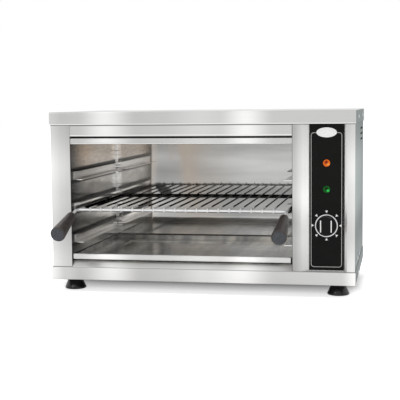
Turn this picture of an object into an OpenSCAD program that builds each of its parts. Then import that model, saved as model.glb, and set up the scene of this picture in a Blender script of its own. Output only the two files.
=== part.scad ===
// Counter-top cheese melter: an open-fronted stainless chamber with top heat,
// three levels of runners, one wire grid on two insulated handles and a crumb tray.
// Millimetres. +Z is up, the open front faces -Y, +X is to the right of someone
// standing in front of it. The origin is on the counter, under the middle of the whole
// machine's box, its handles and its cable gland included.

/* [Casing] */
// Width of the casing across the lid
casing_w = 640; // [620:1:720]
// Depth of the casing across the lid
casing_d = 400; // [385:1:460]
// Height of the casing without its feet
casing_h = 355; // [350:1:400]
// Depth of the lid's flanges
lid_flange = 27; // [22:1:30]
// Depth of the base pan's flanges
base_flange = 28; // [24:1:32]
// Thickness of the stainless sheet
sheet = 1; // [0.8:0.1:1.2]
// Inside radius of the bends in the sheet
bend_r = 1; // [0.8:0.1:1.6]
// Outside radius of the lid's and the base pan's bends
edge_r = 2; // [1.6:0.1:3]
// Gap between two lapped sheets
lap_gap = 0.3; // [0.2:0.05:0.4]
// Width of the stile left of the opening
left_stile_w = 44; // [38:1:52]
// Width of the stile right of the control panel
right_stile_w = 17; // [14:1:20]
// Width of the flanges that the panels turn inwards
return_w = 14; // [10:1:16]

/* [Chamber] */
// Space between the chamber's rear wall and the rear panel
rear_space = 35.4; // [30:0.1:50]
// Height of the sill between the base pan and the chamber's floor
sill_h = 13.5; // [11:0.5:16]
// How far the sill's foot stands in front of its top
sill_slope = 9; // [6:0.5:12]
// Height of the reflector's front lip
lip_h = 13; // [10:0.5:16]
// Slot between the reflector's lip and the header
vent_gap = 2.5; // [2:0.1:4]
// Height of the header's face that shows under the lid
header_h = 25; // [20:1:28]
// How far the reflector rises behind its lip
reflector_rise = 20; // [16:1:22]
// How far behind the lip the reflector rises
reflector_shelf = 42; // [30:1:50]
// Width of the angles in the chamber's rear corners
corner_w = 12; // [10:1:16]

/* [Runners] */
// Height of the lowest runner above the chamber's floor
runner_first = 36.5; // [32:0.5:40]
// Distance from one runner to the next
runner_pitch = 67; // [60:1:70]
// Width of the runner's lower flange, which carries the grid
runner_w = 19; // [17:0.5:22]
// Width of the runner's upper flange
runner_top_w = 13; // [10:0.5:15]
// Clear height inside a runner
runner_h = 17; // [14:0.5:20]
// How far the upper flange is cut back at the front
runner_cut = 26; // [18:1:34]
// How far the runners start behind the front
runner_inset = 24; // [22:1:34]
// Level that the grid is in, counted from below
grid_level = 1; // [0:1:2]

/* [Grid] */
// Diameter of the grid's frame rods
rail_d = 6; // [5:0.5:7]
// Diameter of the grid's wires
wire_d = 3.6; // [3:0.2:4]
// Number of wires between the side rods
wire_count = 18; // [14:1:20]
// Distance from a side rod to the first wire
wire_margin = 27; // [20:1:32]
// How far the frame's side rods run from the chamber's walls
rail_inset = 12; // [11:0.5:13]
// How far the front rod lies behind the casing's front
rail_front = 14; // [12:0.5:18]
// Space behind the grid's rear rod
rail_rear = 16; // [14:1:24]
// Bend radius of the wires' turned-down ends
wire_bend = 4; // [3.5:0.5:5]
// How deep a weld sinks one rod into another
weld_bite = 0.5; // [0.3:0.1:0.8]

/* [Handles] */
// Angle at which the handles drop towards their ends
handle_drop = 17; // [10:1:24]
// Straight stretch of the handle rod before it bends
handle_lead = 16; // [14:1:24]
// Length of bare rod between the bend and the grip
handle_bare = 24; // [14:1:30]
// Bend radius of the handle rod
handle_bend = 14; // [10:1:20]
// Length of the grip
grip_l = 98; // [80:1:110]
// Diameter of the grip at the rod
grip_neck_d = 19; // [17:0.5:21]
// Diameter of the grip at its end
grip_end_d = 31; // [28:0.5:34]
// Depth of the rod's seat in the grip
grip_seat = 45; // [35:1:60]

/* [Crumb tray] */
// Height of the tray's front wall
tray_front_h = 14.5; // [12:0.5:17]
// Height of the tray's other walls
tray_wall_h = 9; // [7:0.5:10]
// Gap between the tray and the chamber's walls
tray_gap = 3; // [2:0.5:5]
// Width of the flat border round the tray's pressed well
tray_border = 46; // [30:1:60]
// Depth of the pressed well
tray_well = 2.5; // [2:0.5:3]

/* [Controls] */
// Width of the control plate
plate_w = 70; // [66:1:74]
// Thickness of the control plate
plate_t = 1.5; // [1:0.1:2]
// Gap between the control plate and the seam below it
plate_foot_gap = 3; // [2:0.5:6]
// Gap between the control plate and the lid's flange above it
plate_head_gap = 1; // [0.5:0.5:3]
// Depth of the trough that the plate lies in
trough_d = 5; // [4:0.5:7]
// Width of the stile left of the trough
control_stile_w = 18; // [14:1:20]
// Width of the slope on the trough's left side
trough_slope_l = 16; // [12:1:20]
// Width of the slope on the trough's right side
trough_slope_r = 6; // [4:1:9]
// Space between the plate and the trough's right slope
plate_side_gap = 0.5; // [0.3:0.1:1]
// Height of the knob's axis above the casing's underside
knob_z = 122.5; // [100:0.5:130]
// Height of the lower lamp above the casing's underside
lamp_low_z = 196; // [185:1:205]
// Distance between the two lamps
lamp_pitch = 53; // [45:1:60]
// Diameter of a lamp's lens
lamp_d = 14; // [12:0.5:16]
// Diameter of the knob with its ring
knob_d = 46; // [42:1:50]
// Width of the knob's bright ring
ring_w = 2.2; // [1.6:0.2:3]
// Height of the knob's grip bar above its disc
knob_bar_h = 13; // [10:0.5:16]
// Width of the knob's grip bar
knob_bar_w = 24; // [14:0.5:28]
// Diameter of the thermostat's spindle
spindle_d = 6; // [5:0.5:6.5]

/* [Heating] */
// Diameter of a heating element's sheath
element_d = 8; // [6.5:0.5:8.5]
// Distance between the two legs of an element
element_leg = 44; // [36:1:48]
// Number of heating elements
element_count = 3; // [2:1:3]
// Distance between the middles of two elements
element_pitch = 100; // [92:1:104]
// Distance from the reflector down to an element's axis
element_drop = 15; // [12:0.5:17]

/* [Feet] */
// Height of a foot
foot_h = 25; // [19:0.5:30]
// Diameter of a foot where it stands
foot_d = 46; // [40:1:50]
// Diameter of a foot at the casing
foot_top_d = 28; // [24:1:32]
// Distance from a foot's axis to the casing's side
foot_inset_x = 37; // [30:1:45]
// Distance from a foot's axis to the casing's front and back
foot_inset_y = 45; // [34:1:60]

/* [Rear] */
// Bore of the cable gland
cable_d = 10; // [8:0.5:11]
// Distance from the gland's axis to the casing's right side
gland_inset = 60; // [50:1:70]
// Height of the gland's axis above the casing's underside
gland_z = 55; // [45:1:70]

/* [Hidden] */
$fn = 48;

// Clearances
run_gap = 0.3;            // between faces that slide past each other
fit = 0.05;               // radial, shaft in bore
hole_gap = 0.2;           // radial, screw in its hole
seat_gap = 0.1;           // between two pieces that are welded or pressed together
cut = 1;                  // how far a cutting shape runs past a face
bend_step = 18;           // degrees of a sheet bend that one chord spans
rod_lap = 1.5;            // how far a straight rod runs into its bend

// Reach in front of the casing and behind it, which sets where the casing's middle lies
grip_round = 4;                   // radius of the edges of a grip's two ends
gland_hex_t = 5;
gland_cap_l = 10;
lap = sheet + lap_gap;
rod_depth = rail_front - rail_d / 2;      // from the casing's front to the grid's front rod
grip_reach = (handle_bare + grip_l - grip_round) * cos(handle_drop)
    + (grip_end_d / 2 - grip_round + handle_bend) * sin(handle_drop) + grip_round;
front_reach = handle_lead + grip_reach - rod_depth;
rear_reach = gland_hex_t + gland_cap_l - lap;

// Planes of the casing
z_body = foot_h;
z_top = z_body + casing_h;
x_left = -casing_w / 2;
x_right = casing_w / 2;
y_mid = (front_reach - rear_reach) / 2;
y_front = y_mid - casing_d / 2;
y_rear = y_mid + casing_d / 2;
pan_bend_r = max(edge_r - sheet, 0.3);   // inside radius of the lid's and the pan's bends
x_panel_l = x_left + lap;         // outer faces of the side panels
x_panel_r = x_right - lap;
y_stile = y_front + lap;          // face of the stiles
y_behind = y_stile + sheet;       // plane behind the stiles
y_back = y_rear - lap;            // outer face of the rear panel
y_flange = y_back - sheet;        // rear face of the side panels' rear flanges
z_inside = z_body + sheet;        // top of the base pan's floor
z_under_lid = z_top - sheet;
z_panel_foot = z_inside + pan_bend_r;     // the outer panels stop short of the bends
z_panel_head = z_under_lid - pan_bend_r;
z_sill = z_body + base_flange;
z_lid_edge = z_top - lid_flange;

// Planes of the chamber
x_cham_l = x_left + left_stile_w;
x_control_r = x_right - right_stile_w;
control_w = control_stile_w + trough_slope_l + plate_w + 2 * plate_side_gap + trough_slope_r;
x_cham_r = x_control_r - control_w;
cham_w = x_cham_r - x_cham_l;
x_cham = (x_cham_l + x_cham_r) / 2;
y_cham_rear = y_flange - rear_space;
chamber_d = y_cham_rear - y_behind;
z_floor = z_sill + sill_h;        // top of the chamber's floor
z_header = z_lid_edge - header_h;
z_shelf = z_header - vent_gap;    // top of the reflector's front shelf
z_lip = z_shelf - lip_h;
z_reflector = z_shelf + reflector_rise;   // top of the reflector

// Runners
runner_z = [for (i = [0:2]) z_floor + runner_first + i * runner_pitch];
y_runner = y_front + runner_inset;
runner_l = y_cham_rear - corner_w - run_gap - y_runner;

// Grid
z_rail = runner_z[grid_level] + run_gap + rail_d / 2;
x_rail = cham_w / 2 - rail_inset;
y_rail = y_front + rail_front;
y_rail_rear = y_cham_rear - rail_rear;
z_wire = z_rail + rail_d / 2 + wire_d / 2 - weld_bite;
wire_pitch = 2 * (x_rail - wire_margin) / (wire_count - 1);

// Handles
y_rod = y_front + rod_depth;
grip_bore_d = rail_d + 2 * fit;

// Control panel
y_trough = y_stile + trough_d;    // front of the trough's floor
x_plate_r = x_control_r - trough_slope_r - plate_side_gap;
x_plate_l = x_plate_r - plate_w;
x_controls = (x_plate_l + x_plate_r) / 2;
x_wall_out = x_cham_r + sheet;    // outer face of the chamber's right wall
z_knob = z_body + knob_z;
lamp_z = [z_body + lamp_low_z, z_body + lamp_low_z + lamp_pitch];
y_plate = y_trough - plate_t;     // front of the control plate
y_trough_back = y_trough + sheet;
lamp_neck_d = lamp_d - 3;
spindle_hole_d = spindle_d + 5;
knob_gap = 0.6;                   // between the plate and the knob
knob_disc_t = 5;
y_knob = y_plate - knob_gap;      // back of the knob
thermostat_w = 42;
thermostat_t = 32;
thermostat_bore = 18;             // depth of the spindle's bore
blade_t = 0.8;                    // thickness of a push-on terminal
blade_w = 6;
blade_l = 8;

// Heating elements
z_element = z_reflector - sheet - element_drop;
element_y = [for (i = [0:element_count - 1])
    y_mid + (i - (element_count - 1) / 2) * element_pitch];
x_element_l = x_cham_l + 26;      // where an element's bend starts
element_out = 16;                 // how far a leg stands past the right wall
bush_d = element_d + 6;
bush_neck_d = element_d + 2;
bush_l = 6;
stud_d = 4;
stud_l = 14;
stud_nut_d = 8;
stud_nut_t = 3;

// Screws
screw_d = 4;
screw_head_d = 7.6;
screw_head_t = 2.4;
screw_l = 8;
lid_screw_z = z_lid_edge + lid_flange / 2;
base_screw_z = z_body + base_flange / 2;
side_screw_y = [y_mid - casing_d / 4, y_mid + casing_d / 4];
rear_screw_x = [x_left + casing_w / 6, x_right - casing_w / 6];
bracket_y = [y_mid - casing_d * 0.26, y_mid - casing_d * 0.07];
bracket_screw_z = z_sill + 15;
bracket_foot = 20;
bracket_edge = 10;
foot_x = [x_left + foot_inset_x, x_right - foot_inset_x];
foot_y = [y_front + foot_inset_y, y_rear - foot_inset_y];
foot_screw_d = 5;
foot_head_d = 9;
foot_head_t = 3;
foot_nut_d = 9;
foot_nut_t = 4;
foot_recess_d = 16;
foot_web_t = 7;                   // rubber left over the recess
foot_recess_h = foot_h - foot_web_t;
gland_x = x_right - gland_inset;
gland_hole_d = cable_d + 6;
gland_z_axis = z_body + gland_z;
gland_hex_d = gland_hole_d + 8;
gland_tail = 12;                  // threaded length from the panel's outer face inwards

// ---------------------------------------------------------------- helpers

function unit(v) = v / norm(v);
function cross_z(a, b) = a.x * b.y - a.y * b.x;
function left_of(v) = [-v.y, v.x];
function turned(v, angle) = [v.x * cos(angle) - v.y * sin(angle), v.x * sin(angle) + v.y * cos(angle)];
function reversed(v) = [for (i = [len(v) - 1:-1:0]) v[i]];

// Points of a bend at corner p between two directions, on a line that lies off to the left
// of the sheet's middle by a given distance.
function bend_points(p, way_in, way_out, off, mid_r) =
    let (
        side = cross_z(way_in, way_out) > 0 ? 1 : -1,
        full = acos(way_in * way_out),
        steps = max(2, ceil(full / bend_step)),
        to_centre = side * left_of(way_in),
        centre = p - way_in * mid_r * tan(full / 2) + to_centre * mid_r
    )
    [for (k = [0:steps]) centre - (mid_r - side * off) * turned(to_centre, side * full * k / steps)];

// One side of a folded sheet, from its first point to its last
function sheet_side(points, off, mid_r) =
    let (
        last = len(points) - 1,
        ways = [for (i = [0:last - 1]) unit(points[i + 1] - points[i])]
    )
    concat(
        [points[0] + off * left_of(ways[0])],
        [for (i = [1:last - 1]) each bend_points(points[i], ways[i - 1], ways[i], off, mid_r)],
        [points[last] + off * left_of(ways[last - 1])]
    );

// Section of a sheet that follows a line of points, with a round bend at each corner.
// The line is the middle of the sheet.
module folded(points, t = sheet, r = bend_r) {
    polygon(concat(
        sheet_side(points, t / 2, r + t / 2),
        reversed(sheet_side(points, -t / 2, r + t / 2))
    ));
}

// Section in the X-Y plane, raised between two heights
module upright(z0, z1) {
    translate([0, 0, z0]) linear_extrude(z1 - z0) children();
}

// Section drawn in the Y-Z plane, carried from x0 to x1
module along_x(x0, x1) {
    translate([x0, 0, 0]) rotate([90, 0, 90]) linear_extrude(x1 - x0) children();
}

// Section drawn in the X-Z plane, carried from y0 to y1
module along_y(y0, y1) {
    translate([0, y1, 0]) rotate([90, 0, 0]) linear_extrude(y1 - y0) children();
}

// Box between two corners
module block(low, high) {
    translate(low) cube(high - low);
}

// Rectangle standing on the middle of its base, its two lower corners rounded
module dish_section(w, h, r) {
    translate([-w / 2, r]) square([w, h - r]);
    translate([-w / 2 + r, 0]) square([w - 2 * r, h]);
    for (side = [-1, 1]) translate([side * (w / 2 - r), r]) circle(r);
}

module dish_block(w, d, h, r) {
    intersection() {
        along_y(-d / 2, d / 2) dish_section(w, h, r);
        along_x(-w / 2, w / 2) dish_section(d, h, r);
    }
}

// Shallow pan folded from sheet: a floor with a flange on each side
module pan(w, d, h, t = sheet, r = edge_r) {
    difference() {
        dish_block(w, d, h, r);
        translate([0, 0, t]) dish_block(w - 2 * t, d - 2 * t, h, pan_bend_r);
    }
}

// Cylinder along Y from y0 to y1
module rod_y(x, z, d, y0, y1) {
    translate([x, y1, z]) rotate([90, 0, 0]) cylinder(d = d, h = y1 - y0);
}

// Cylinder along X from x0 to x1
module rod_x(y, z, d, x0, x1) {
    translate([x0, y, z]) rotate([0, 90, 0]) cylinder(d = d, h = x1 - x0);
}

// Slot with round ends, its length along the first axis
module slot(l, w) {
    translate([-(l - w) / 2, -w / 2]) square([l - w, w]);
    for (side = [-1, 1]) translate([side * (l - w) / 2, 0]) circle(d = w);
}

// Pan-head screw pointing along -Z from its seat at z = 0
module pan_screw(d = screw_d, head_d = screw_head_d, head_t = screw_head_t, l = screw_l) {
    difference() {
        union() {
            cylinder(d = head_d, h = head_t * 0.5);
            translate([0, 0, head_t * 0.5]) cylinder(d1 = head_d, d2 = head_d * 0.6, h = head_t * 0.5);
            translate([0, 0, -l]) cylinder(d = d, h = l);
        }
        for (turn = [0, 90]) rotate(turn)
            translate([-head_d * 0.3, -0.5, head_t * 0.45]) cube([head_d * 0.6, 1, head_t]);
    }
}

// Places children at the lid's screws on both sides, +Z pointing out of the casing
module at_side_screws(z) {
    for (side = [-1, 1]) for (y = side_screw_y)
        translate([side * casing_w / 2, y, z]) rotate([0, side * 90, 0]) children();
}

// Places children at the lid's or the pan's screws at the rear, +Z pointing out
module at_rear_screws(z) {
    for (x = rear_screw_x) translate([x, y_rear, z]) rotate([-90, 0, 0]) children();
}

// Clearance hole for a casing screw, long enough for the lapped sheets
module screw_hole() {
    translate([0, 0, -2 * lap - cut]) cylinder(d = screw_d + 2 * hole_gap, h = 2 * lap + 2 * cut);
}

// ---------------------------------------------------------------- casing

module base_pan() {
    color("silver") difference() {
        translate([0, y_mid, z_body]) pan(casing_w, casing_d, base_flange);
        for (x = foot_x) for (y = foot_y)
            translate([x, y, z_body - cut]) cylinder(d = foot_screw_d + 2 * hole_gap, h = sheet + 2 * cut);
        at_side_screws(base_screw_z) screw_hole();
        at_rear_screws(base_screw_z) screw_hole();
        pan_vents();
    }
}

// Air slots in the floor under the control compartment
vent_rows = 5;
vent_l = 50;
vent_w = 4;
vent_pitch = 12;
module pan_vents() {
    for (i = [0:vent_rows - 1])
        translate([x_controls, y_mid + (i - (vent_rows - 1) / 2) * vent_pitch, z_body - cut])
            linear_extrude(sheet + 2 * cut) slot(vent_l, vent_w);
}

module top_cover() {
    color("silver") difference() {
        translate([0, y_mid, z_top]) mirror([0, 0, 1]) pan(casing_w, casing_d, lid_flange);
        at_side_screws(lid_screw_z) screw_hole();
        at_rear_screws(lid_screw_z) screw_hole();
    }
}

// Side panel seen from above: front stile, side and rear flange
module side_section(stile_edge, outer, inward) {
    t = sheet / 2;
    folded([
        [stile_edge, y_stile + t],
        [outer + inward * t, y_stile + t],
        [outer + inward * t, y_flange - t],
        [outer + inward * return_w, y_flange - t]
    ]);
}

module left_side_panel() {
    color("lightgray") difference() {
        upright(z_panel_foot, z_panel_head) side_section(x_cham_l, x_panel_l, 1);
        at_side_screws(lid_screw_z) screw_hole();
        at_side_screws(base_screw_z) screw_hole();
        side_vents(x_panel_l);
    }
}

module right_side_panel() {
    color("lightgray") difference() {
        upright(z_panel_foot, z_panel_head) side_section(x_control_r, x_panel_r, -1);
        at_side_screws(lid_screw_z) screw_hole();
        at_side_screws(base_screw_z) screw_hole();
        at_bracket_screws() screw_hole();
        side_vents(x_panel_r);
    }
}

// Air slots near the top of a side panel, towards the rear
side_vent_l = 110;
side_vent_drop = 16;
module side_vents(x) {
    for (i = [0:2])
        along_x(x - 2 * sheet, x + 2 * sheet)
            translate([y_mid + casing_d / 4, z_lid_edge - side_vent_drop - i * vent_pitch])
                slot(side_vent_l, vent_w);
}

module rear_panel() {
    color("lightgray") difference() {
        block([x_panel_l, y_flange, z_panel_foot], [x_panel_r, y_back, z_panel_head]);
        at_rear_screws(lid_screw_z) screw_hole();
        at_rear_screws(base_screw_z) screw_hole();
        rod_y(gland_x, gland_z_axis, gland_hole_d + 2 * hole_gap, y_flange - cut, y_back + cut);
        for (i = [0:vent_rows - 1])
            along_y(y_flange - cut, y_back + cut)
                translate([x_controls, z_lid_edge - side_vent_drop - i * vent_pitch])
                    slot(vent_l, vent_w);
    }
}

// Folded strip over the opening, behind the stiles
module front_header() {
    t = sheet / 2;
    color("gainsboro")
        along_x(x_cham_l - return_w, x_cham_r - lap_gap)
            folded([
                [y_behind + return_w, z_header + t],
                [y_behind + t, z_header + t],
                [y_behind + t, z_under_lid - t],
                [y_behind + return_w, z_under_lid - t]
            ]);
}

// Control panel seen from above: flange on the chamber's wall, stile, trough and rear lap
module control_section() {
    t = sheet / 2;
    stile = x_cham_r + control_stile_w;
    folded([
        [x_cham_r + t, y_behind + return_w],
        [x_cham_r + t, y_stile + t],
        [stile, y_stile + t],
        [stile + trough_slope_l, y_trough + t],
        [x_control_r - trough_slope_r, y_trough + t],
        [x_control_r, y_behind + t],
        [x_control_r + right_stile_w - 2 * lap - bend_r, y_behind + t]
    ]);
}

module control_panel() {
    color("lightgray") difference() {
        upright(z_panel_foot, z_panel_head) control_section();
        rod_y(x_controls, z_knob, spindle_hole_d, y_plate - cut, y_trough_back + cut);
        for (z = lamp_z)
            rod_y(x_controls, z, lamp_neck_d + 2 * hole_gap, y_plate - cut, y_trough_back + cut);
    }
}

module control_plate() {
    color([0.11, 0.11, 0.105]) difference() {
        block(
            [x_plate_l, y_plate, z_sill + plate_foot_gap],
            [x_plate_r, y_trough, z_lid_edge - plate_head_gap]
        );
        rod_y(x_controls, z_knob, spindle_hole_d, y_plate - cut, y_trough_back + cut);
        for (z = lamp_z)
            rod_y(x_controls, z, lamp_neck_d + 2 * hole_gap, y_plate - cut, y_trough_back + cut);
    }
}

// ---------------------------------------------------------------- chamber

// Side wall seen from above, with a flange behind the stile and one at the rear
module wall_section(face, outward, front_flange) {
    t = sheet / 2;
    folded([
        [face + outward * (front_flange ? return_w : t), y_behind + t],
        [face + outward * t, y_behind + t],
        [face + outward * t, y_cham_rear - t],
        [face + outward * return_w, y_cham_rear - t]
    ]);
}

module chamber_left_wall() {
    color("darkgray") {
        upright(z_inside, z_shelf) wall_section(x_cham_l, -1, true);
        upright(z_shelf, z_reflector)
            translate([x_cham_l - sheet, y_behind + return_w])
                square([sheet, chamber_d - return_w - 3 * bend_r]);
    }
}

module chamber_right_wall() {
    t = sheet / 2;
    color("darkgray") difference() {
        upright(z_inside, z_reflector)
            folded([
                [x_cham_r + t, y_behind + return_w + run_gap],
                [x_cham_r + t, y_cham_rear - t],
                [x_cham_r + return_w, y_cham_rear - t]
            ]);
        for (y = element_y) for (side = [-1, 1])
            rod_x(
                y + side * element_leg / 2, z_element, bush_neck_d + 2 * hole_gap,
                x_cham_r - cut, x_wall_out + cut
            );
        tube_hole();
    }
}

module chamber_rear_wall() {
    color("gainsboro")
        block(
            [x_cham_l - return_w, y_cham_rear, z_inside],
            [x_cham_r + return_w, y_cham_rear + sheet, z_reflector]
        );
}

// Floor of the chamber with the sloping sill under its front edge
module chamber_floor() {
    t = sheet / 2;
    color("silver")
        along_x(x_cham_l + lap_gap, x_cham_r - lap_gap)
            folded([
                [y_stile + sheet, z_sill - 8],
                [y_stile + sheet, z_sill],
                [y_stile + sheet + sill_slope, z_floor - t],
                [y_cham_rear - corner_w - lap_gap, z_floor - t]
            ]);
}

// Ceiling of the chamber: lip, shelf, step and the shining sheet over the elements
module reflector() {
    t = sheet / 2;
    y_lip = y_behind + sheet;
    color("gainsboro")
        along_x(x_cham_l + lap_gap, x_cham_r - lap_gap)
            folded([
                [y_lip + 8, z_lip + t],
                [y_lip + t, z_lip + t],
                [y_lip + t, z_shelf - t],
                [y_lip + reflector_shelf, z_shelf - t],
                [y_lip + reflector_shelf, z_reflector - t],
                [y_cham_rear - lap_gap, z_reflector - t]
            ]);
}

// Angle that covers the joint of a side wall and the rear wall
module rear_corner(face, inward) {
    t = sheet / 2;
    upright(z_floor - sheet, z_reflector - sheet - lap_gap)
        folded([
            [face + inward * t, y_cham_rear - corner_w],
            [face + inward * t, y_cham_rear - t],
            [face + inward * corner_w, y_cham_rear - t]
        ]);
}

module left_rear_corner() {
    color("gainsboro") rear_corner(x_cham_l, 1);
}

module right_rear_corner() {
    color("gainsboro") rear_corner(x_cham_r, -1);
}

// Channel runner against a side wall, its upper flange cut back for the grid
module runner(face, inward, z) {
    t = sheet / 2;
    difference() {
        along_y(y_runner, y_runner + runner_l)
            folded([
                [face + inward * runner_w, z - t],
                [face + inward * t, z - t],
                [face + inward * t, z + runner_h + t],
                [face + inward * runner_top_w, z + runner_h + t]
            ]);
        translate([0, y_runner, 0])
            along_x(min(face, face + inward * runner_w), max(face, face + inward * runner_w))
            polygon([
                [-cut, z + runner_h - bend_r],
                [runner_cut, z + runner_h + sheet + cut],
                [-cut, z + runner_h + sheet + cut]
            ]);
    }
}

module left_runner(i) {
    color("darkgray") runner(x_cham_l, 1, runner_z[i]);
}

module right_runner(i) {
    color("darkgray") runner(x_cham_r, -1, runner_z[i]);
}

// ---------------------------------------------------------------- grid

// Front and rear rods, which end against the side rods
module grid_frame() {
    half_l = x_rail - rail_d / 2 - seat_gap;
    for (y = [y_rail, y_rail_rear])
        rod_x(y, z_rail, rail_d, x_cham - half_l, x_cham + half_l);
}

// One wire from the rear rod to the front rod, its front end turned down
module grid_wire(x) {
    y_end = y_rail - rail_d / 2 - wire_d / 2 + weld_bite;
    rod_y(x, z_wire, wire_d, y_end + wire_bend, y_rail_rear + rail_d / 2);
    translate([x, y_end + wire_bend, z_wire - wire_bend])
        rotate([90, 0, -90]) rotate_extrude(angle = 90) translate([wire_bend, 0]) circle(d = wire_d);
    translate([x, y_end, z_rail - rail_d / 3])
        cylinder(d = wire_d, h = z_wire - wire_bend - z_rail + rail_d / 3);
}

module wire_grid() {
    color("whitesmoke") {
        grid_frame();
        for (i = [0:wire_count - 1]) grid_wire(x_cham - x_rail + wire_margin + i * wire_pitch);
    }
}

// Side rod of the grid: it slides in the runner, and its front end bends down into the grip
module handle_rod(x) {
    rod_y(x, z_rail, rail_d, y_rod - handle_lead - rod_lap, y_rail_rear + rail_d / 2);
    translate([x, y_rod, z_rail]) {
        translate([0, -handle_lead, -handle_bend]) {
            rotate([90, 0, 90]) rotate([0, 0, 90]) rotate_extrude(angle = handle_drop)
                translate([handle_bend, 0]) circle(d = rail_d);
            rotate([handle_drop, 0, 0])
                rod_y(0, handle_bend, rail_d, -handle_bare - grip_seat, rod_lap);
        }
    }
}

// Moulded grip, its end the widest; it lies on the rod's slanting stretch
module grip(x) {
    neck_r = grip_neck_d / 2;
    end_r = grip_end_d / 2;
    translate([x, y_rod - handle_lead, z_rail - handle_bend])
        rotate([handle_drop, 0, 0]) translate([0, -handle_bare, handle_bend]) rotate([90, 0, 0])
            difference() {
                rotate_extrude() {
                    polygon([
                        [0, 0], [neck_r - grip_round, 0], [neck_r, grip_round],
                        [end_r, grip_l - grip_round], [end_r - grip_round, grip_l], [0, grip_l]
                    ]);
                    translate([neck_r - grip_round, grip_round]) intersection() {
                        circle(grip_round);
                        translate([0, -grip_round]) square(grip_round);
                    }
                    translate([end_r - grip_round, grip_l - grip_round]) intersection() {
                        circle(grip_round);
                        square(grip_round);
                    }
                }
                translate([0, 0, -cut]) cylinder(d = grip_bore_d, h = grip_seat + 2 * cut);
            }
}

module left_handle_rod() {
    color("silver") handle_rod(x_cham - x_rail);
}

module right_handle_rod() {
    color("silver") handle_rod(x_cham + x_rail);
}

module left_grip() {
    color([0.28, 0.26, 0.25]) grip(x_cham - x_rail);
}

module right_grip() {
    color([0.28, 0.26, 0.25]) grip(x_cham + x_rail);
}

// ---------------------------------------------------------------- crumb tray

// Tray with a pressed well; its front wall is taller and folds back over the sill
module crumb_tray() {
    w = cham_w - 2 * tray_gap;
    z0 = z_floor + run_gap + tray_well;
    y0 = y_behind + run_gap;
    y1 = y_cham_rear - corner_w - 2;
    t = sheet / 2;
    color("lightgray") difference() {
        union() {
            block([x_cham - w / 2, y0 + sheet, z0], [x_cham + w / 2, y1, z0 + tray_wall_h]);
            block(
                [x_cham - w / 2 + tray_border, y0 + tray_border, z_floor + run_gap],
                [x_cham + w / 2 - tray_border, y1 - tray_border, z0 + sheet]
            );
            along_x(x_cham - w / 2, x_cham + w / 2) folded([
                [y0 + sheet + 6, z_floor + tray_front_h - t],
                [y0 + t, z_floor + tray_front_h - t],
                [y0 + t, z0 + t],
                [y0 + sheet + 6, z0 + t]
            ]);
        }
        block(
            [x_cham - w / 2 + sheet, y0 + sheet, z0 + sheet],
            [x_cham + w / 2 - sheet, y1 - sheet, z0 + tray_wall_h + cut]
        );
        block(
            [x_cham - w / 2 + tray_border + sheet, y0 + tray_border + sheet, z_floor + run_gap + sheet],
            [x_cham + w / 2 - tray_border - sheet, y1 - tray_border - sheet, z0 + sheet + cut]
        );
    }
}

// ---------------------------------------------------------------- heating

// Hairpin of sheathed element: two legs along X and a half-round bend at the left
module hairpin(y) {
    x1 = x_wall_out + element_out;
    for (side = [-1, 1])
        rod_x(y + side * element_leg / 2, z_element, element_d, x_element_l, x1);
    translate([x_element_l, y, z_element]) rotate([0, 0, 90])
        rotate_extrude(angle = 180) translate([element_leg / 2, 0]) circle(d = element_d);
}

module heating_elements() {
    color("dimgray") for (y = element_y) hairpin(y);
}

// Hangers under the reflector, each with a hole for every leg
hanger_t = 1.5;
module element_hanger(x) {
    y0 = element_y[0] - element_leg / 2 - element_d;
    y1 = element_y[element_count - 1] + element_leg / 2 + element_d;
    z1 = z_reflector - sheet;
    difference() {
        union() {
            block([x, y0, z_element - element_d], [x + hanger_t, y1, z1]);
            block([x, y0, z1 - hanger_t], [x + return_w, y1, z1]);
        }
        for (y = element_y) for (side = [-1, 1])
            rod_x(
                y + side * element_leg / 2, z_element, element_d + 2 * hole_gap,
                x - cut, x + hanger_t + cut
            );
    }
}

module element_hangers() {
    color("silver") {
        element_hanger(x_cham_l + cham_w / 5);
        element_hanger(x_cham_l + cham_w * 3 / 5);
    }
}

// Ceramic bush round each leg where it goes through the right wall
module element_bush(y) {
    difference() {
        union() {
            rod_x(y, z_element, bush_d, x_wall_out, x_wall_out + bush_l);
            rod_x(y, z_element, bush_neck_d, x_cham_r, x_wall_out + cut);
        }
        rod_x(y, z_element, element_d + 2 * fit, x_cham_r - cut, x_wall_out + bush_l + cut);
    }
}

module element_bushes() {
    color("ivory") for (y = element_y) for (side = [-1, 1]) element_bush(y + side * element_leg / 2);
}

// Threaded stud and nut on the end of each leg
module element_terminal(y) {
    x = x_wall_out + element_out;
    rod_x(y, z_element, stud_d, x, x + stud_l);
    translate([x + stud_l / 2, y, z_element]) rotate([0, 90, 0])
        cylinder(d = stud_nut_d, h = stud_nut_t, $fn = 6);
}

module element_terminals() {
    color("goldenrod") for (y = element_y) for (side = [-1, 1]) element_terminal(y + side * element_leg / 2);
}

// ---------------------------------------------------------------- controls

// Thermostat body behind the trough, with a bore for its spindle
module thermostat() {
    color("beige") difference() {
        union() {
            block(
                [x_controls - thermostat_w / 2, y_trough_back, z_knob - thermostat_w / 2],
                [x_controls + thermostat_w / 2, y_trough_back + thermostat_t, z_knob + thermostat_w / 2]
            );
            for (side = [-1, 1])
                translate([
                    x_controls + side * thermostat_w / 4,
                    y_trough_back + thermostat_t,
                    z_knob - thermostat_w / 4
                ])
                    block([-blade_w / 2, 0, -blade_t / 2], [blade_w / 2, blade_l, blade_t / 2]);
        }
        rod_y(x_controls, z_knob, spindle_d + 2 * fit, y_trough_back - cut, y_trough_back + thermostat_bore);
    }
}

knob_t = knob_disc_t + knob_bar_h;
spindle_in_knob = 12;
module spindle_section(d) {
    difference() {
        circle(d = d);
        translate([-d, d / 4]) square([2 * d, d]);
    }
}

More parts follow.
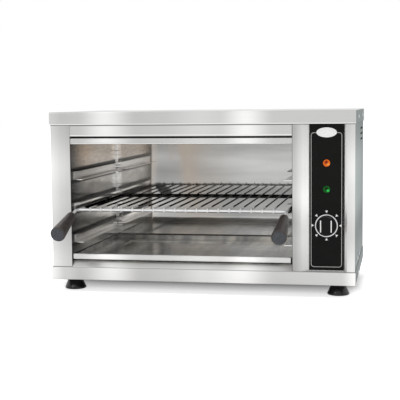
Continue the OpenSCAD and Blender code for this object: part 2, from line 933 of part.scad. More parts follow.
// Spindle with a flat where the knob sits on it
module thermostat_spindle() {
    color("silver") {
        rod_y(x_controls, z_knob, spindle_d, y_knob + cut, y_trough_back + thermostat_bore - 1);
        along_y(y_knob - spindle_in_knob, y_knob + cut + seat_gap)
            translate([x_controls, z_knob]) spindle_section(spindle_d);
    }
}

// Knob: disc with a grip bar right across it
module control_knob() {
    disc_d = knob_d - 2 * ring_w;
    color([0.07, 0.07, 0.07]) difference() {
        union() {
            rod_y(x_controls, z_knob, disc_d, y_knob - knob_disc_t, y_knob);
            intersection() {
                rod_y(x_controls, z_knob, disc_d - 3, y_knob - knob_t, y_knob - knob_disc_t + cut);
                along_y(y_knob - knob_t, y_knob)
                    translate([x_controls - knob_bar_w / 2, z_knob - knob_d / 2])
                        square([knob_bar_w, knob_d]);
                along_x(x_controls - knob_d / 2, x_controls + knob_d / 2)
                    translate([y_knob, z_knob]) rotate(90) dish_section(knob_d - 3, knob_t, 3);
            }
        }
        along_y(y_knob - spindle_in_knob - 0.5, y_knob + cut)
            translate([x_controls, z_knob]) spindle_section(spindle_d + 2 * fit);
    }
}

module knob_ring() {
    disc_d = knob_d - 2 * ring_w;
    color("white") difference() {
        rod_y(x_controls, z_knob, knob_d, y_knob - knob_disc_t + 1, y_knob);
        rod_y(x_controls, z_knob, disc_d + 2 * fit, y_knob - knob_disc_t - cut, y_knob + cut);
    }
}

// Domed lens with a rim that lies on the control plate
module lamp_lens(z) {
    rim_t = 2;
    dome_r = lamp_d / 2;
    translate([x_controls, y_plate, z]) rotate([90, 0, 0]) {
        cylinder(d = lamp_d, h = rim_t);
        translate([0, 0, rim_t]) intersection() {
            translate([0, 0, -dome_r * 0.5]) sphere(dome_r);
            cylinder(d = lamp_d, h = lamp_d);
        }
    }
}

// Holder behind a lens, through the plate and the panel, with two blades
module lamp_body(z) {
    body_l = 24;
    nut_t = 3;
    rod_y(x_controls, z, lamp_neck_d, y_plate, y_trough_back + body_l);
    rod_y(x_controls, z, lamp_neck_d + 2 * nut_t, y_trough_back, y_trough_back + nut_t);
    for (side = [-1, 1])
        translate([x_controls + side * lamp_neck_d / 4, y_trough_back + body_l, z])
            block([-blade_t / 2, 0, -blade_w / 3], [blade_t / 2, blade_l, blade_w / 3]);
}

module green_lamp_lens() {
    color("green") lamp_lens(lamp_z[0]);
}

module orange_lamp_lens() {
    color("orangered") lamp_lens(lamp_z[1]);
}

module green_lamp_body() {
    color("ivory") lamp_body(lamp_z[0]);
}

module orange_lamp_body() {
    color("ivory") lamp_body(lamp_z[1]);
}

// Sensing bulb along the right wall, its thin tube led through to the thermostat
bulb_d = 6;
bulb_l = 90;
bulb_off = 8;                     // from the wall to the bulb's axis
bulb_rise = 20;                   // from the top runner to the bulb's axis
tube_d = 2;
tube_lead = 12;                   // straight tube in front of the bulb
bulb_x = x_cham_r - bulb_off;
bulb_y = y_front + casing_d * 0.55;
bulb_z = runner_z[2] + runner_h + bulb_rise;
tube_turn_y = bulb_y - tube_lead;
tube_y = y_trough_back + thermostat_t + tube_d / 2 + seat_gap;
module thermostat_bulb() {
    color("peru") {
        rod_y(bulb_x, bulb_z, bulb_d, bulb_y, bulb_y + bulb_l);
        rod_y(bulb_x, bulb_z, tube_d, tube_turn_y, bulb_y + cut);
        rod_x(tube_turn_y, bulb_z, tube_d, bulb_x, x_controls);
        rod_y(x_controls, bulb_z, tube_d, tube_y, tube_turn_y);
        translate([x_controls, tube_y, z_knob]) cylinder(d = tube_d, h = bulb_z - z_knob);
        translate([bulb_x, tube_turn_y, bulb_z]) sphere(d = tube_d);
        translate([x_controls, tube_turn_y, bulb_z]) sphere(d = tube_d);
        translate([x_controls, tube_y, bulb_z]) sphere(d = tube_d);
    }
}

// Hole for the tube through the chamber's wall and the wool behind it
module tube_hole() {
    rod_x(tube_turn_y, bulb_z, tube_d + 2 * hole_gap, x_cham_r - cut, x_wall_out + 2 * wool_side_t);
}

// Spring clips that hold the bulb off the wall
module bulb_clips() {
    clip_w = 5;
    clip_t = 1.5;
    color("silver") for (y = [bulb_y + bulb_l / 5, bulb_y + bulb_l * 4 / 5])
        translate([0, y, bulb_z]) difference() {
            union() {
                rod_y(bulb_x, 0, bulb_d + 2 * clip_t, 0, clip_w);
                block([bulb_x, 0, -clip_t], [x_cham_r, clip_w, clip_t]);
            }
            rod_y(bulb_x, 0, bulb_d + 2 * fit, -cut, clip_w + cut);
        }
}

// Terminal block on the base pan's floor beside the gland
module terminal_block() {
    block_inset = 90;
    pole_pitch = 10;
    poles = 5;
    w = 20;
    h = 18;
    screw_well = 8;
    l = poles * pole_pitch + 2;
    y0 = y_flange - block_inset;
    color("ivory") difference() {
        block([gland_x - l / 2, y0, z_inside], [gland_x + l / 2, y0 + w, z_inside + h]);
        for (i = [0:poles - 1]) {
            x = gland_x + (i - (poles - 1) / 2) * pole_pitch;
            translate([x, y0 + w / 2, z_inside + h - screw_well])
                cylinder(d = pole_pitch / 2, h = screw_well + cut);
            rod_y(x, z_inside + h / 3, pole_pitch * 0.4, y0 - cut, y0 + w + cut);
        }
    }
}

// Angle on the base pan's floor, screwed to the right side panel
module side_bracket() {
    t = sheet / 2;
    x = x_panel_r - sheet;
    color("silver") difference() {
        along_y(bracket_y[0] - bracket_edge, bracket_y[1] + bracket_edge)
            folded([
                [x - bracket_foot, z_inside + t],
                [x - t, z_inside + t],
                [x - t, bracket_screw_z + bracket_edge]
            ]);
        at_bracket_screws() screw_hole();
        at_side_screws(base_screw_z) screw_hole();
    }
}

// Places children at the bracket's screws, +Z pointing out of the casing
module at_bracket_screws() {
    for (y = bracket_y) translate([x_panel_r, y, bracket_screw_z]) rotate([0, 90, 0]) children();
}

module bracket_screws() {
    color("silver") at_bracket_screws() pan_screw(l = screw_l - 2);
}

// Cable gland in the rear panel, with its nut inside
module cable_gland() {
    z = gland_z_axis;
    y_cap = y_back + gland_hex_t + gland_cap_l;
    color([0.1, 0.1, 0.1]) difference() {
        union() {
            translate([gland_x, y_back, z]) rotate([-90, 0, 0])
                cylinder(d = gland_hex_d, h = gland_hex_t, $fn = 6);
            rod_y(gland_x, z, gland_hole_d + 2, y_back + gland_hex_t - cut, y_cap);
            rod_y(gland_x, z, gland_hole_d, y_back - gland_tail, y_back + cut);
        }
        rod_y(gland_x, z, cable_d, y_back - gland_tail - cut, y_cap + cut);
    }
}

module gland_nut() {
    z = gland_z_axis;
    y0 = y_flange - gland_hex_t;
    color([0.1, 0.1, 0.1]) difference() {
        translate([gland_x, y0, z]) rotate([-90, 0, 0]) cylinder(d = gland_hex_d, h = gland_hex_t, $fn = 6);
        rod_y(gland_x, z, gland_hole_d + 2 * fit, y0 - cut, y_flange + cut);
    }
}

// ---------------------------------------------------------------- insulation

wool_gap = 0.5;
wool_end = 3;                     // clear space at a slab's ends
wool_side_t = 12;
y_wool = y_cham_rear - sheet - bend_r - wool_end;
module left_insulation() {
    color("khaki") block(
        [x_panel_l + sheet + wool_gap, y_behind + return_w + wool_gap, z_sill],
        [x_cham_l - sheet - wool_gap, y_wool, z_reflector]
    );
}

module right_insulation() {
    color("khaki") difference() {
        block(
            [x_wall_out + wool_gap, y_trough_back + thermostat_t, z_sill],
            [x_wall_out + wool_side_t, y_wool, z_element - bush_d]
        );
        tube_hole();
    }
}

module rear_insulation() {
    color("khaki") block(
        [x_cham_l, y_cham_rear + sheet + wool_gap, z_sill],
        [x_cham_r, y_flange - sheet - wool_gap, z_reflector]
    );
}

module top_insulation() {
    color("khaki") block(
        [x_cham_l, y_behind + reflector_shelf + 2 * return_w, z_reflector],
        [x_cham_r, y_cham_rear - 10, z_under_lid - wool_gap]
    );
}

// ---------------------------------------------------------------- feet and fasteners

// Rubber foot: a cone that widens to a rounded rim, recessed for its screw
module foot(x, y) {
    rim = 3;
    color([0.11, 0.11, 0.12]) translate([x, y, 0]) difference() {
        rotate_extrude() difference() {
            union() {
                polygon([
                    [0, 0], [foot_d / 2 - rim, 0], [foot_d / 2, rim],
                    [foot_top_d / 2, foot_h], [0, foot_h]
                ]);
                translate([foot_d / 2 - rim, rim]) circle(rim);
            }
            translate([0, -foot_d]) square([foot_d, foot_d]);
        }
        translate([0, 0, -cut]) cylinder(d = foot_recess_d, h = foot_recess_h + cut);
        cylinder(d = foot_screw_d + 2 * hole_gap, h = foot_h + cut);
    }
}

module foot_screws() {
    color("silver") for (x = foot_x) for (y = foot_y)
        translate([x, y, foot_recess_h]) mirror([0, 0, 1])
            pan_screw(foot_screw_d, foot_head_d, foot_head_t, foot_web_t + sheet + 1.5 * foot_nut_t);
}

module foot_nuts() {
    color("silver") for (x = foot_x) for (y = foot_y)
        translate([x, y, z_inside]) difference() {
            cylinder(d = foot_nut_d, h = foot_nut_t, $fn = 6);
            translate([0, 0, -cut]) cylinder(d = foot_screw_d + 2 * fit, h = foot_nut_t + 2 * cut);
        }
}

module cover_screws() {
    color("silver") {
        at_side_screws(lid_screw_z) pan_screw();
        at_rear_screws(lid_screw_z) pan_screw();
    }
}

module panel_screws() {
    color("silver") {
        at_side_screws(base_screw_z) pan_screw();
        at_rear_screws(base_screw_z) pan_screw();
    }
}

// ---------------------------------------------------------------- nodes

base_pan();
left_side_panel();
right_side_panel();
rear_panel();
top_cover();
front_header();
control_panel();
control_plate();
chamber_left_wall();
chamber_right_wall();
chamber_rear_wall();
chamber_floor();
reflector();
left_rear_corner();
right_rear_corner();
left_runner(0);  // left_runner_low
left_runner(1);  // left_runner_middle
left_runner(2);  // left_runner_high
right_runner(0);  // right_runner_low
right_runner(1);  // right_runner_middle
right_runner(2);  // right_runner_high
wire_grid();
left_handle_rod();
right_handle_rod();
left_grip();
right_grip();
crumb_tray();
heating_elements();
element_hangers();
element_bushes();
element_terminals();
thermostat();
thermostat_spindle();
thermostat_bulb();
bulb_clips();
control_knob();
knob_ring();
orange_lamp_lens();
green_lamp_lens();
orange_lamp_body();
green_lamp_body();
terminal_block();
side_bracket();
bracket_screws();
cable_gland();
gland_nut();
left_insulation();
right_insulation();
rear_insulation();
top_insulation();
foot(foot_x[0], foot_y[0]);  // front_left_foot
foot(foot_x[1], foot_y[0]);  // front_right_foot
foot(foot_x[0], foot_y[1]);  // rear_left_foot
foot(foot_x[1], foot_y[1]);  // rear_right_foot
foot_screws();
foot_nuts();
cover_screws();
panel_screws();
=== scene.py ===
# %% [markdown]
# # A counter-top cheese melter
# The machine is a stainless box with an open front. This notebook takes its solid parts, which
# are already the right size and in the right place, and gives each of them the finish that the
# real one has. Then it adds what is only printed or pressed on, the floor, the light and the camera.

# %% Load the solid parts
import math

import bmesh
import bpy
from mathutils import Matrix, Vector


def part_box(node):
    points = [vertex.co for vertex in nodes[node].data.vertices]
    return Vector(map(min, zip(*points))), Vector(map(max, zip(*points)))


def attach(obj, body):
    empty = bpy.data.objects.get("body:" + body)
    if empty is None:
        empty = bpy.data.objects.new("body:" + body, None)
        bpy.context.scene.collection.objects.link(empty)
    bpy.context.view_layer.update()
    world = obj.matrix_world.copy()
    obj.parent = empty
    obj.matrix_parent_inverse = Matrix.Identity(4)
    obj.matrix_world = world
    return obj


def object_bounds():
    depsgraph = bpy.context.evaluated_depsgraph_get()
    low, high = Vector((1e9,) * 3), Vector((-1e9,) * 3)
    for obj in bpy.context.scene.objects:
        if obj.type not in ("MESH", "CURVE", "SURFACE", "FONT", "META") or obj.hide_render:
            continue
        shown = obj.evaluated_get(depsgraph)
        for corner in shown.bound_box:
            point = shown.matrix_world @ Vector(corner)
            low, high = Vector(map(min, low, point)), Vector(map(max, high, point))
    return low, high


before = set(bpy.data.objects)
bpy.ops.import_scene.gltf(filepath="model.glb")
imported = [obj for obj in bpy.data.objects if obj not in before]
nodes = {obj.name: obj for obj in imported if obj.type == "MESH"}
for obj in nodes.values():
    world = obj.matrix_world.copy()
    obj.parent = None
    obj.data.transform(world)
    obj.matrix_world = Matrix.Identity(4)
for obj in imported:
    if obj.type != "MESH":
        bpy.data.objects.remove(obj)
cad_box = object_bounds()
mm = 0.001
print("parts:", len(nodes))

# %% [markdown]
# ## The camera
# The camera comes first, because every finish is judged through it. It stands to the right of the
# machine and a little above its lid, far enough away that the front keeps nearly straight edges.

# %% Stand the camera
scene = bpy.context.scene
scene.view_settings.view_transform = "Standard"

camera_place = Vector((0.415, -2.242, 0.398))  # metres
camera_turn = math.radians(11.12)
camera_tilt = math.radians(5.35)
camera_roll = math.radians(-0.57)
camera_lens = 93.9  # millimetres, as is the sensor
camera_sensor = 36


def stand_camera():
    """A camera turned to the left, tilted down and rolled a little."""
    data = bpy.data.cameras.new("camera")
    data.lens = camera_lens
    data.sensor_width = camera_sensor
    camera = bpy.data.objects.new("camera", data)
    camera.matrix_world = (
        Matrix.Translation(camera_place)
        @ Matrix.Rotation(camera_turn, 4, "Z")
        @ Matrix.Rotation(math.pi / 2 - camera_tilt, 4, "X")
        @ Matrix.Rotation(camera_roll, 4, "Z")
    )
    scene.collection.objects.link(camera)
    return camera


scene.camera = stand_camera()
print("camera stands at", tuple(camera_place))

# %% [markdown]
# ## Building blocks for a finish
# Each finish is a Principled shader with a few nodes in front of it. The first helpers add nodes
# and join them. The next ones tell where a point of the part lies and which way its surface looks,
# so that a pattern stays on the part: noise that is long one way and very short the other looks
# like brushing, and a ramp along an axis paints broad bands of light and shade into a sheet. The last
# ones mix colours and lay them on the shader.

# %% Helpers that add and join nodes
def add_node(owner, kind):
    """A new node in a material or in the world."""
    return owner.node_tree.nodes.new("ShaderNode" + kind)


def join(owner, output, socket):
    """Leads the output of one node into another."""
    owner.node_tree.links.new(output, socket)


def feed(owner, value, socket):
    """Gives a socket its value: the output of a node, a plain number or a colour."""
    if isinstance(value, bpy.types.NodeSocket):
        join(owner, value, socket)
    elif isinstance(value, (int, float)):
        socket.default_value = value
    else:
        socket.default_value = (*value, 1)


def arithmetic(owner, operation, *values, clamp=False):
    """One step of arithmetic on outputs and plain numbers."""
    node = add_node(owner, "Math")
    node.operation = operation
    node.use_clamp = clamp
    for value, socket in zip(values, node.inputs):
        feed(owner, value, socket)
    return node.outputs["Value"]


def rescale(owner, value, start, end, low=0.0, high=1.0):
    """Goes from low to high while a value goes from start to end, and stays level outside them."""
    node = add_node(owner, "MapRange")
    node.inputs["From Min"].default_value = start
    node.inputs["From Max"].default_value = end
    node.inputs["To Min"].default_value = low
    node.inputs["To Max"].default_value = high
    join(owner, value, node.inputs["Value"])
    return node.outputs["Result"]


def span(owner, factor, low, high):
    """Stretches a 0 to 1 value to run from low to high."""
    return rescale(owner, factor, 0.0, 1.0, low, high)


print("node helpers are ready")

# %% Helpers that measure the part
def stretched_noise(material, stretch, detail=2.0, shift=(0, 0, 0)):
    """Noise on the part's own coordinates, its scale set for each axis."""
    place = add_node(material, "TexCoord")
    mapping = add_node(material, "Mapping")
    mapping.inputs["Scale"].default_value = stretch
    mapping.inputs["Location"].default_value = shift
    noise = add_node(material, "TexNoise")
    noise.inputs["Scale"].default_value = 1.0
    noise.inputs["Detail"].default_value = detail
    join(material, place.outputs["Object"], mapping.inputs["Vector"])
    join(material, mapping.outputs["Vector"], noise.inputs["Vector"])
    return noise.outputs["Fac"]


def streaks(material, axis, across, along, detail=3.0):
    """Noise that is drawn out along one axis: so many marks to the metre across it and along it."""
    stretch = [across, across, across]
    stretch["XYZ".index(axis)] = along
    return stretched_noise(material, stretch, detail)


def specks(material, grain, detail=2.0, shift=(0, 0, 0)):
    """Noise that is as fine one way as the other."""
    return stretched_noise(material, (grain, grain, grain), detail, shift)


def place_along(material, axis):
    """Where a point lies along one axis of the part, in metres."""
    place = add_node(material, "TexCoord")
    split = add_node(material, "SeparateXYZ")
    join(material, place.outputs["Object"], split.inputs["Vector"])
    return split.outputs[axis]


def distance_along(material, axis, at):
    """How far a point lies from a place on one axis, in metres."""
    offset = arithmetic(material, "SUBTRACT", place_along(material, axis), at)
    return arithmetic(material, "ABSOLUTE", offset)


def along_axis(material, axis, start, end):
    """0 before start and 1 after end, measured along one axis of the part, in metres."""
    return rescale(material, place_along(material, axis), start, end)


def facing(material, way, start, end):
    """0 where the surface looks less than start towards a way, and 1 where it looks more than end."""
    place = add_node(material, "TexCoord")
    dot = add_node(material, "VectorMath")
    dot.operation = "DOT_PRODUCT"
    dot.inputs[1].default_value = Vector(way).normalized()
    join(material, place.outputs["Normal"], dot.inputs[0])
    return rescale(material, dot.outputs["Value"], start, end)


print("measuring helpers are ready")

# %% Helpers that turn a place into a colour
def grey(tone):
    """A colour without tint."""
    return (tone, tone, tone)


def ramp(material, factor, stops):
    """A colour ramp: stops are (place, colour) pairs."""
    node = add_node(material, "ValToRGB")
    elements = node.color_ramp.elements
    for element, (place, colour) in zip(elements, (stops[0], stops[-1])):
        element.position = place
        element.color = (*colour, 1)
    for place, colour in stops[1:-1]:
        elements.new(place).color = (*colour, 1)
    join(material, factor, node.inputs["Fac"])
    return node.outputs["Color"]


def grey_ramp(material, factor, stops):
    """A ramp of greys: stops are (place, tone) pairs."""
    return ramp(material, factor, [(place, grey(tone)) for place, tone in stops])


def painted_bands(material, axis, stops, origin=0.0):
    """Broad soft bands of painted light and shade along one axis: stops are (metres from the origin,
    tone), from low to high.
    """
    start, end = stops[0][0], stops[-1][0]
    place = along_axis(material, axis, origin + start, origin + end)
    colour = grey_ramp(material, place, [((at - start) / (end - start), tone) for at, tone in stops])
    colour.node.color_ramp.interpolation = "EASE"
    return colour


print("ramp helpers are ready")

# %% Helpers that mix colours
white = (1.0, 1.0, 1.0)


def blend(material, factor, first, second, mode="MIX"):
    """Mixes two colours; all three values may be outputs or plain numbers."""
    node = add_node(material, "Mix")
    node.data_type = "RGBA"
    node.blend_type = mode
    feed(material, factor, node.inputs[0])
    feed(material, first, node.inputs[6])
    feed(material, second, node.inputs[7])
    return node.outputs[2]


def multiply(material, first, second):
    """Shades one colour with another."""
    return blend(material, 1.0, first, second, mode="MULTIPLY")


def draw_line(material, colour, axis, at, wide, tone):
    """Paints a line with soft edges across an axis, such as the shadow in a seam or light on a fold."""
    inside = rescale(material, distance_along(material, axis, at), wide / 2, wide / 4)
    return blend(material, inside, colour, grey(tone))


print("mixing helpers are ready")

# %% Helpers that finish the shader
def start_finish(name, colour, rough, metal=0.0):
    """A new material with its Principled shader set to plain values."""
    material = bpy.data.materials.new(name)
    material.use_nodes = True
    shader = principled(material)
    shader.inputs["Base Color"].default_value = (*colour, 1)
    shader.inputs["Roughness"].default_value = rough
    shader.inputs["Metallic"].default_value = metal
    return material


def principled(material):
    """The shader of a material."""
    return material.node_tree.nodes["Principled BSDF"]


def paint(material, colour):
    """Leads a colour into the shader."""
    join(material, colour, principled(material).inputs["Base Color"])


def roughen(material, factor, at_zero, at_one):
    """Makes the surface as rough as a 0 to 1 value says."""
    join(material, span(material, factor, at_zero, at_one), principled(material).inputs["Roughness"])


def repaint(material, factor, tone):
    """Lays a new tone over the colour that a finish already has."""
    under = principled(material).inputs["Base Color"].links[0].from_socket
    paint(material, blend(material, factor, under, tone))


def emboss(material, height, strength, distance):
    """Turns a height into small bumps on the surface."""
    bump = add_node(material, "Bump")
    bump.inputs["Strength"].default_value = strength
    bump.inputs["Distance"].default_value = distance
    join(material, height, bump.inputs["Height"])
    join(material, bump.outputs["Normal"], principled(material).inputs["Normal"])


def set_gloss(material, level):
    """How much the plain part of a surface mirrors."""
    principled(material).inputs["Specular IOR Level"].default_value = level


def tint_edges(material, colour):
    """The colour in which a metal mirrors where it is seen edge-on."""
    feed(material, colour, principled(material).inputs["Specular Tint"])


print("shader helpers are ready")

# %% [markdown]
# ## Brushed stainless steel
# The casing is folded from sheet that was brushed along its length. Three things make it look
# real: very fine lines along the brushing, broad soft bands of painted light across them where the
# sheet would catch the light, and a roughness that changes from line to line. The lines are noise
# that is about 250 times finer across the brushing than along it.

# %% Measure the casing
cover_low, cover_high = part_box("top_cover")
pan_low, pan_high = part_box("base_pan")
header_low, header_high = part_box("front_header")
stile_low, stile_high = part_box("left_side_panel")
trough_low, trough_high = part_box("control_panel")
front = cover_low.y
sides = cover_high.x
underside = pan_low.z
print("casing front at y =", round(front, 4), "half width", round(sides, 4))
print("underside at z =", round(underside, 4))
print("header is", round((header_high.z - header_low.z) / mm, 1), "mm high")
print("control panel is", round((trough_high.x - trough_low.x) / mm, 1), "mm wide")

# %% Brush the steel
stroke_wide = 1500.0  # strokes to the metre, across and along the brushing
stroke_long = 6.0
stroke_contrast = 0.05
stroke_smoother = 0.06
stroke_rougher = 0.10
warmth = (1.0, 0.995, 0.978)


def brush(material, colour, along, rough):
    """Lays fine strokes over a colour."""
    strokes = streaks(material, along, stroke_wide, stroke_long)
    dim = tuple((1 - stroke_contrast) * tone for tone in warmth)
    paint(material, multiply(material, colour, ramp(material, strokes, [(0.3, dim), (0.7, warmth)])))
    roughen(material, strokes, rough - stroke_smoother, rough + stroke_rougher)
    emboss(material, strokes, strength=0.08, distance=0.2 * mm)


print("strokes to the metre:", stroke_wide, "by", stroke_long)

# %% Set out the painted bands of light
# These are bands of light and shade painted into the colour. Across the front they are (metres
# from the middle, tone), and up the sides (metres above the underside, tone).
across_bands = [
    (-0.320, 0.62), (-0.290, 0.53), (-0.262, 0.55), (-0.199, 0.85), (-0.128, 0.53), (-0.080, 0.55),
    (0.004, 0.66), (0.042, 0.63), (0.098, 0.91), (0.158, 0.58), (0.320, 0.58),
]
base_bands = [
    (-0.320, 0.86), (-0.290, 0.60), (-0.258, 0.52), (-0.188, 0.83), (-0.122, 0.52), (-0.060, 0.57),
    (0.010, 0.72), (0.086, 0.90), (0.160, 0.58), (0.290, 0.60), (0.320, 0.92),
]
upright_bands = [(0.028, 0.78), (0.105, 0.62), (0.176, 0.74), (0.238, 0.84), (0.328, 0.62)]
side_bands = [(0.028, 0.42), (0.105, 0.25), (0.176, 0.60), (0.238, 0.66), (0.328, 0.32)]
trough_bands = [(0.028, 0.60), (0.105, 0.72), (0.176, 0.92), (0.238, 0.80), (0.328, 0.64)]
soft_middle = 0.62
soft_share = 0.30


def scaled(bands, share):
    """The same bands, lighter or darker."""
    return [(at, share * tone) for at, tone in bands]


soft_bands = [(at, soft_middle + soft_share * (tone - soft_middle)) for at, tone in across_bands]
print("bands across the front:", len(across_bands))

# %% Finish the sheets that cross the front
sheet_grey = grey(0.6)
front_rough = 0.30
front_skin = 2 * mm  # behind the front the bands soften, from here
front_fade = 40 * mm  # to here
flange_shade = (0.33, 0.36, 0.355)  # painted shade: the flanges down the sides are cooler and darker
flange_edge_on_shade = (0.36, 0.40, 0.40)


def steel_across(name, lines, bands=across_bands):
    """Sheet that is brushed along its length, with painted bands of light, lines at chosen heights, and
    painted shade where it looks sideways.
    """
    material = start_finish(name, sheet_grey, front_rough, metal=1.0)
    behind = along_axis(material, "Y", front + front_skin, front + front_fade)
    crisp = painted_bands(material, "X", bands)
    soft = painted_bands(material, "X", soft_bands)
    colour = blend(material, behind, crisp, soft)
    for line in lines:
        colour = draw_line(material, colour, "Z", *line)
    edge_on = white
    # painted shade on faces that look to either side, also where they are seen edge-on
    for way in ((-1, 0, 0), (1, 0, 0)):
        flange = facing(material, way, start=0.5, end=0.9)
        colour = blend(material, flange, colour, flange_shade)
        edge_on = blend(material, flange, edge_on, flange_edge_on_shade)
    tint_edges(material, edge_on)
    brush(material, colour, "X", front_rough)
    return material


# Each line is a height, a width and a tone: painted shadows under the laps and along the pan's fold, and
# painted light on the folds.
cover_seam_shadow = (cover_low.z, 3.5 * mm, 0.12)
cover_fold = (cover_low.z + 1.2 * mm, 2.0 * mm, 0.85)
header_lines = [
    (cover_low.z, 5.0 * mm, 0.12),
    (header_low.z, 3.0 * mm, 0.08),
    (header_low.z + 3.4 * mm, 2.0 * mm, 0.85),
]
pan_fold_shadow = (pan_high.z - 0.6 * mm, 1.6 * mm, 0.30)
pan_seam_shadow = (pan_high.z, 1.6 * mm, 0.2)
pan_underside_shade = grey(0.10)
down = (0, 0, -1)

plain_steel = steel_across("plain steel", [])
cover_steel = steel_across("cover steel", [cover_fold])
header_steel = steel_across("header steel", header_lines)
pan_steel = steel_across("pan steel", [pan_fold_shadow], base_bands)
# painted shade on the pan's faces that look down, under the machine
repaint(pan_steel, facing(pan_steel, down, start=0.5, end=0.9), pan_underside_shade)
print("front sheets are ready")

# %% Finish the side sheets
dull_grey = grey(0.5)
side_rough = 0.32
side_edge_on = (0.40, 0.44, 0.44)
side_cool = [(0.30, (0.86, 0.93, 0.925)), (0.70, (1.0, 1.07, 1.06))]
side_depth_shade = [(0.0, 1.08), (0.50, 0.95), (0.88, 0.76), (1.0, 0.55)]  # painted shade, darker from the front to the rear
stile_wide = 40 * mm
stile_fold = 2 * mm
stile_outwards_light = [(0.0, 0.755), (0.45, 0.845), (0.80, 0.99), (1.0, 1.05)]
stile_inside = 1.2 * mm
stile_behind = 2.2 * mm


def steel_side(name, out):
    """Side sheet with painted light and shade: dull grey on the side itself and darker towards the rear,
    bright on the upright stile in front and brightest towards its outer edge.
    """
    material = start_finish(name, dull_grey, side_rough, metal=1.0)
    clouds = stretched_noise(material, stretch=(1.6, 1.6, 3.0), detail=1.0, shift=(0.2, 0.4, 0.1))
    cool = ramp(material, clouds, side_cool)
    side_tone = multiply(material, painted_bands(material, "Z", side_bands, underside), cool)
    # painted shade on the side, darker towards the rear
    depth = along_axis(material, "Y", stile_low.y, stile_high.y)
    side_tone = multiply(material, side_tone, grey_ramp(material, depth, side_depth_shade))
    # painted light on the stile, brightest towards its outer edge
    stile_tone = painted_bands(material, "Z", upright_bands, underside)
    outer = along_axis(material, "X", out * (sides - stile_wide), out * (sides - stile_fold))
    stile_tone = multiply(material, stile_tone, grey_ramp(material, outer, stile_outwards_light))
    back = along_axis(material, "Y", stile_low.y + stile_inside, stile_low.y + stile_behind)
    colour = blend(material, back, stile_tone, side_tone)
    # painted shadows under the cover's lap and along the top of the pan
    colour = draw_line(material, colour, "Z", *cover_seam_shadow)
    colour = draw_line(material, colour, "Z", *pan_seam_shadow)
    brush(material, colour, "Z", side_rough)
    tint_edges(material, side_edge_on)
    return material


left_steel = steel_side("left side steel", -1)
right_steel = steel_side("right side steel", 1)
print("side sheets are ready")

# %% Finish the control panel's sheet
trough_rough = 0.44
trough_stile_shade = 0.70
bend_start = 6 * mm
bend_end = 22 * mm
trough_joint = (trough_low.x, 2.4 * mm, 0.10)


def steel_trough():
    """The control panel's sheet, in painted bands of light: its narrow left stile is painted dimmer than
    its trough.
    """
    material = start_finish("control panel steel", sheet_grey, trough_rough, metal=1.0)
    bend = along_axis(material, "X", trough_low.x + bend_start, trough_low.x + bend_end)
    # painted shade on the flat left stile, and painted light on the trough beyond the bend
    dim = painted_bands(material, "Z", scaled(trough_bands, trough_stile_shade), underside)
    bright = painted_bands(material, "Z", trough_bands, underside)
    colour = blend(material, bend, dim, bright)
    colour = draw_line(material, colour, "X", *trough_joint)
    # painted shadow under the cover's lap
    colour = draw_line(material, colour, "Z", *cover_seam_shadow)
    brush(material, colour, "Z", trough_rough)
    return material


trough_steel = steel_trough()
print("control panel's sheet is ready")

# %% [markdown]
# ## Steel inside the chamber
# The chamber's side walls are rolled sheet that heat has tinted straw near the top, with painted
# shade in front. The rear wall is bright enough to mirror the grid, with the slight waves of thin
# sheet, painted light near its left corner and a dark band behind the grid that is a painted
# reflection. Fully metallic walls would mirror each other until the chamber went black in some
# views, so these steels stay a little short of it and take some plain light as well. The tints and
# bands are ramps along the part's own axes, broken up by noise.

# %% Finish the chamber's side walls
wall_low, wall_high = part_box("chamber_left_wall")
levels = ("low", "middle", "high")
runner_boxes = [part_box(f"left_runner_{level}") for level in levels]
chamber_metal = 0.84
wall_rough = 0.14
wall_tones = [(0.30, (0.50, 0.50, 0.485)), (0.68, (0.97, 0.965, 0.945))]
wall_grain = [(0.32, 0.72), (0.68, 0.95)]
wall_front_shade = [(0.0, 0.14), (0.6, 0.78), (1.0, 1.12)]
front_shade_reach = 110 * mm
straw = (1.0, 0.82, 0.66)
straw_start = 110 * mm  # below the top, as straw_full is
straw_full = 40 * mm
shadow_off = 3 * mm
shadow_under = 12 * mm
shadow_over = 10 * mm
shadow_tone = 0.004


def add_straw(material, tone):
    """Patches of straw heat tint, down from the top."""
    patches = specks(material, 4.0, detail=1.0, shift=(1.3, 0.2, 0.0))
    patches = span(material, patches, low=-1.0, high=3.0)
    near_top = along_axis(material, "Z", wall_high.z - straw_start, wall_high.z - straw_full)
    amount = arithmetic(material, "MULTIPLY", patches, near_top, clamp=True)
    return blend(material, amount, tone, straw)


def add_runner_shadows(material, tone):
    """A dark line under and over each runner."""
    for low, high in runner_boxes:
        tone = draw_line(material, tone, "Z", low.z - shadow_off, shadow_under, shadow_tone)
        tone = draw_line(material, tone, "Z", high.z + shadow_off, shadow_over, shadow_tone)
    return tone


def heated_steel():
    """Rolled sheet with painted shade in front and patches of straw heat tint near the top."""
    material = start_finish("chamber wall steel", wall_tones[-1][1], wall_rough, metal=chamber_metal)
    blur = stretched_noise(material, stretch=(9.0, 4.5, 15.0), detail=3.0, shift=(0.0, 0.7, 0.4))
    tone = add_straw(material, ramp(material, blur, wall_tones))
    tone = add_runner_shadows(material, tone)
    # painted shade, darkest at the wall's front edge
    depth = along_axis(material, "Y", wall_low.y, wall_low.y + front_shade_reach)
    tone = multiply(material, tone, grey_ramp(material, depth, wall_front_shade))
    grain = streaks(material, "Y", across=260.0, along=34.0, detail=4.0)
    paint(material, multiply(material, tone, grey_ramp(material, grain, wall_grain)))
    roughen(material, grain, at_zero=wall_rough - 0.02, at_one=wall_rough + 0.05)
    emboss(material, blur, strength=0.10, distance=4 * mm)
    return material


wall_steel = heated_steel()
print("side walls are ready")

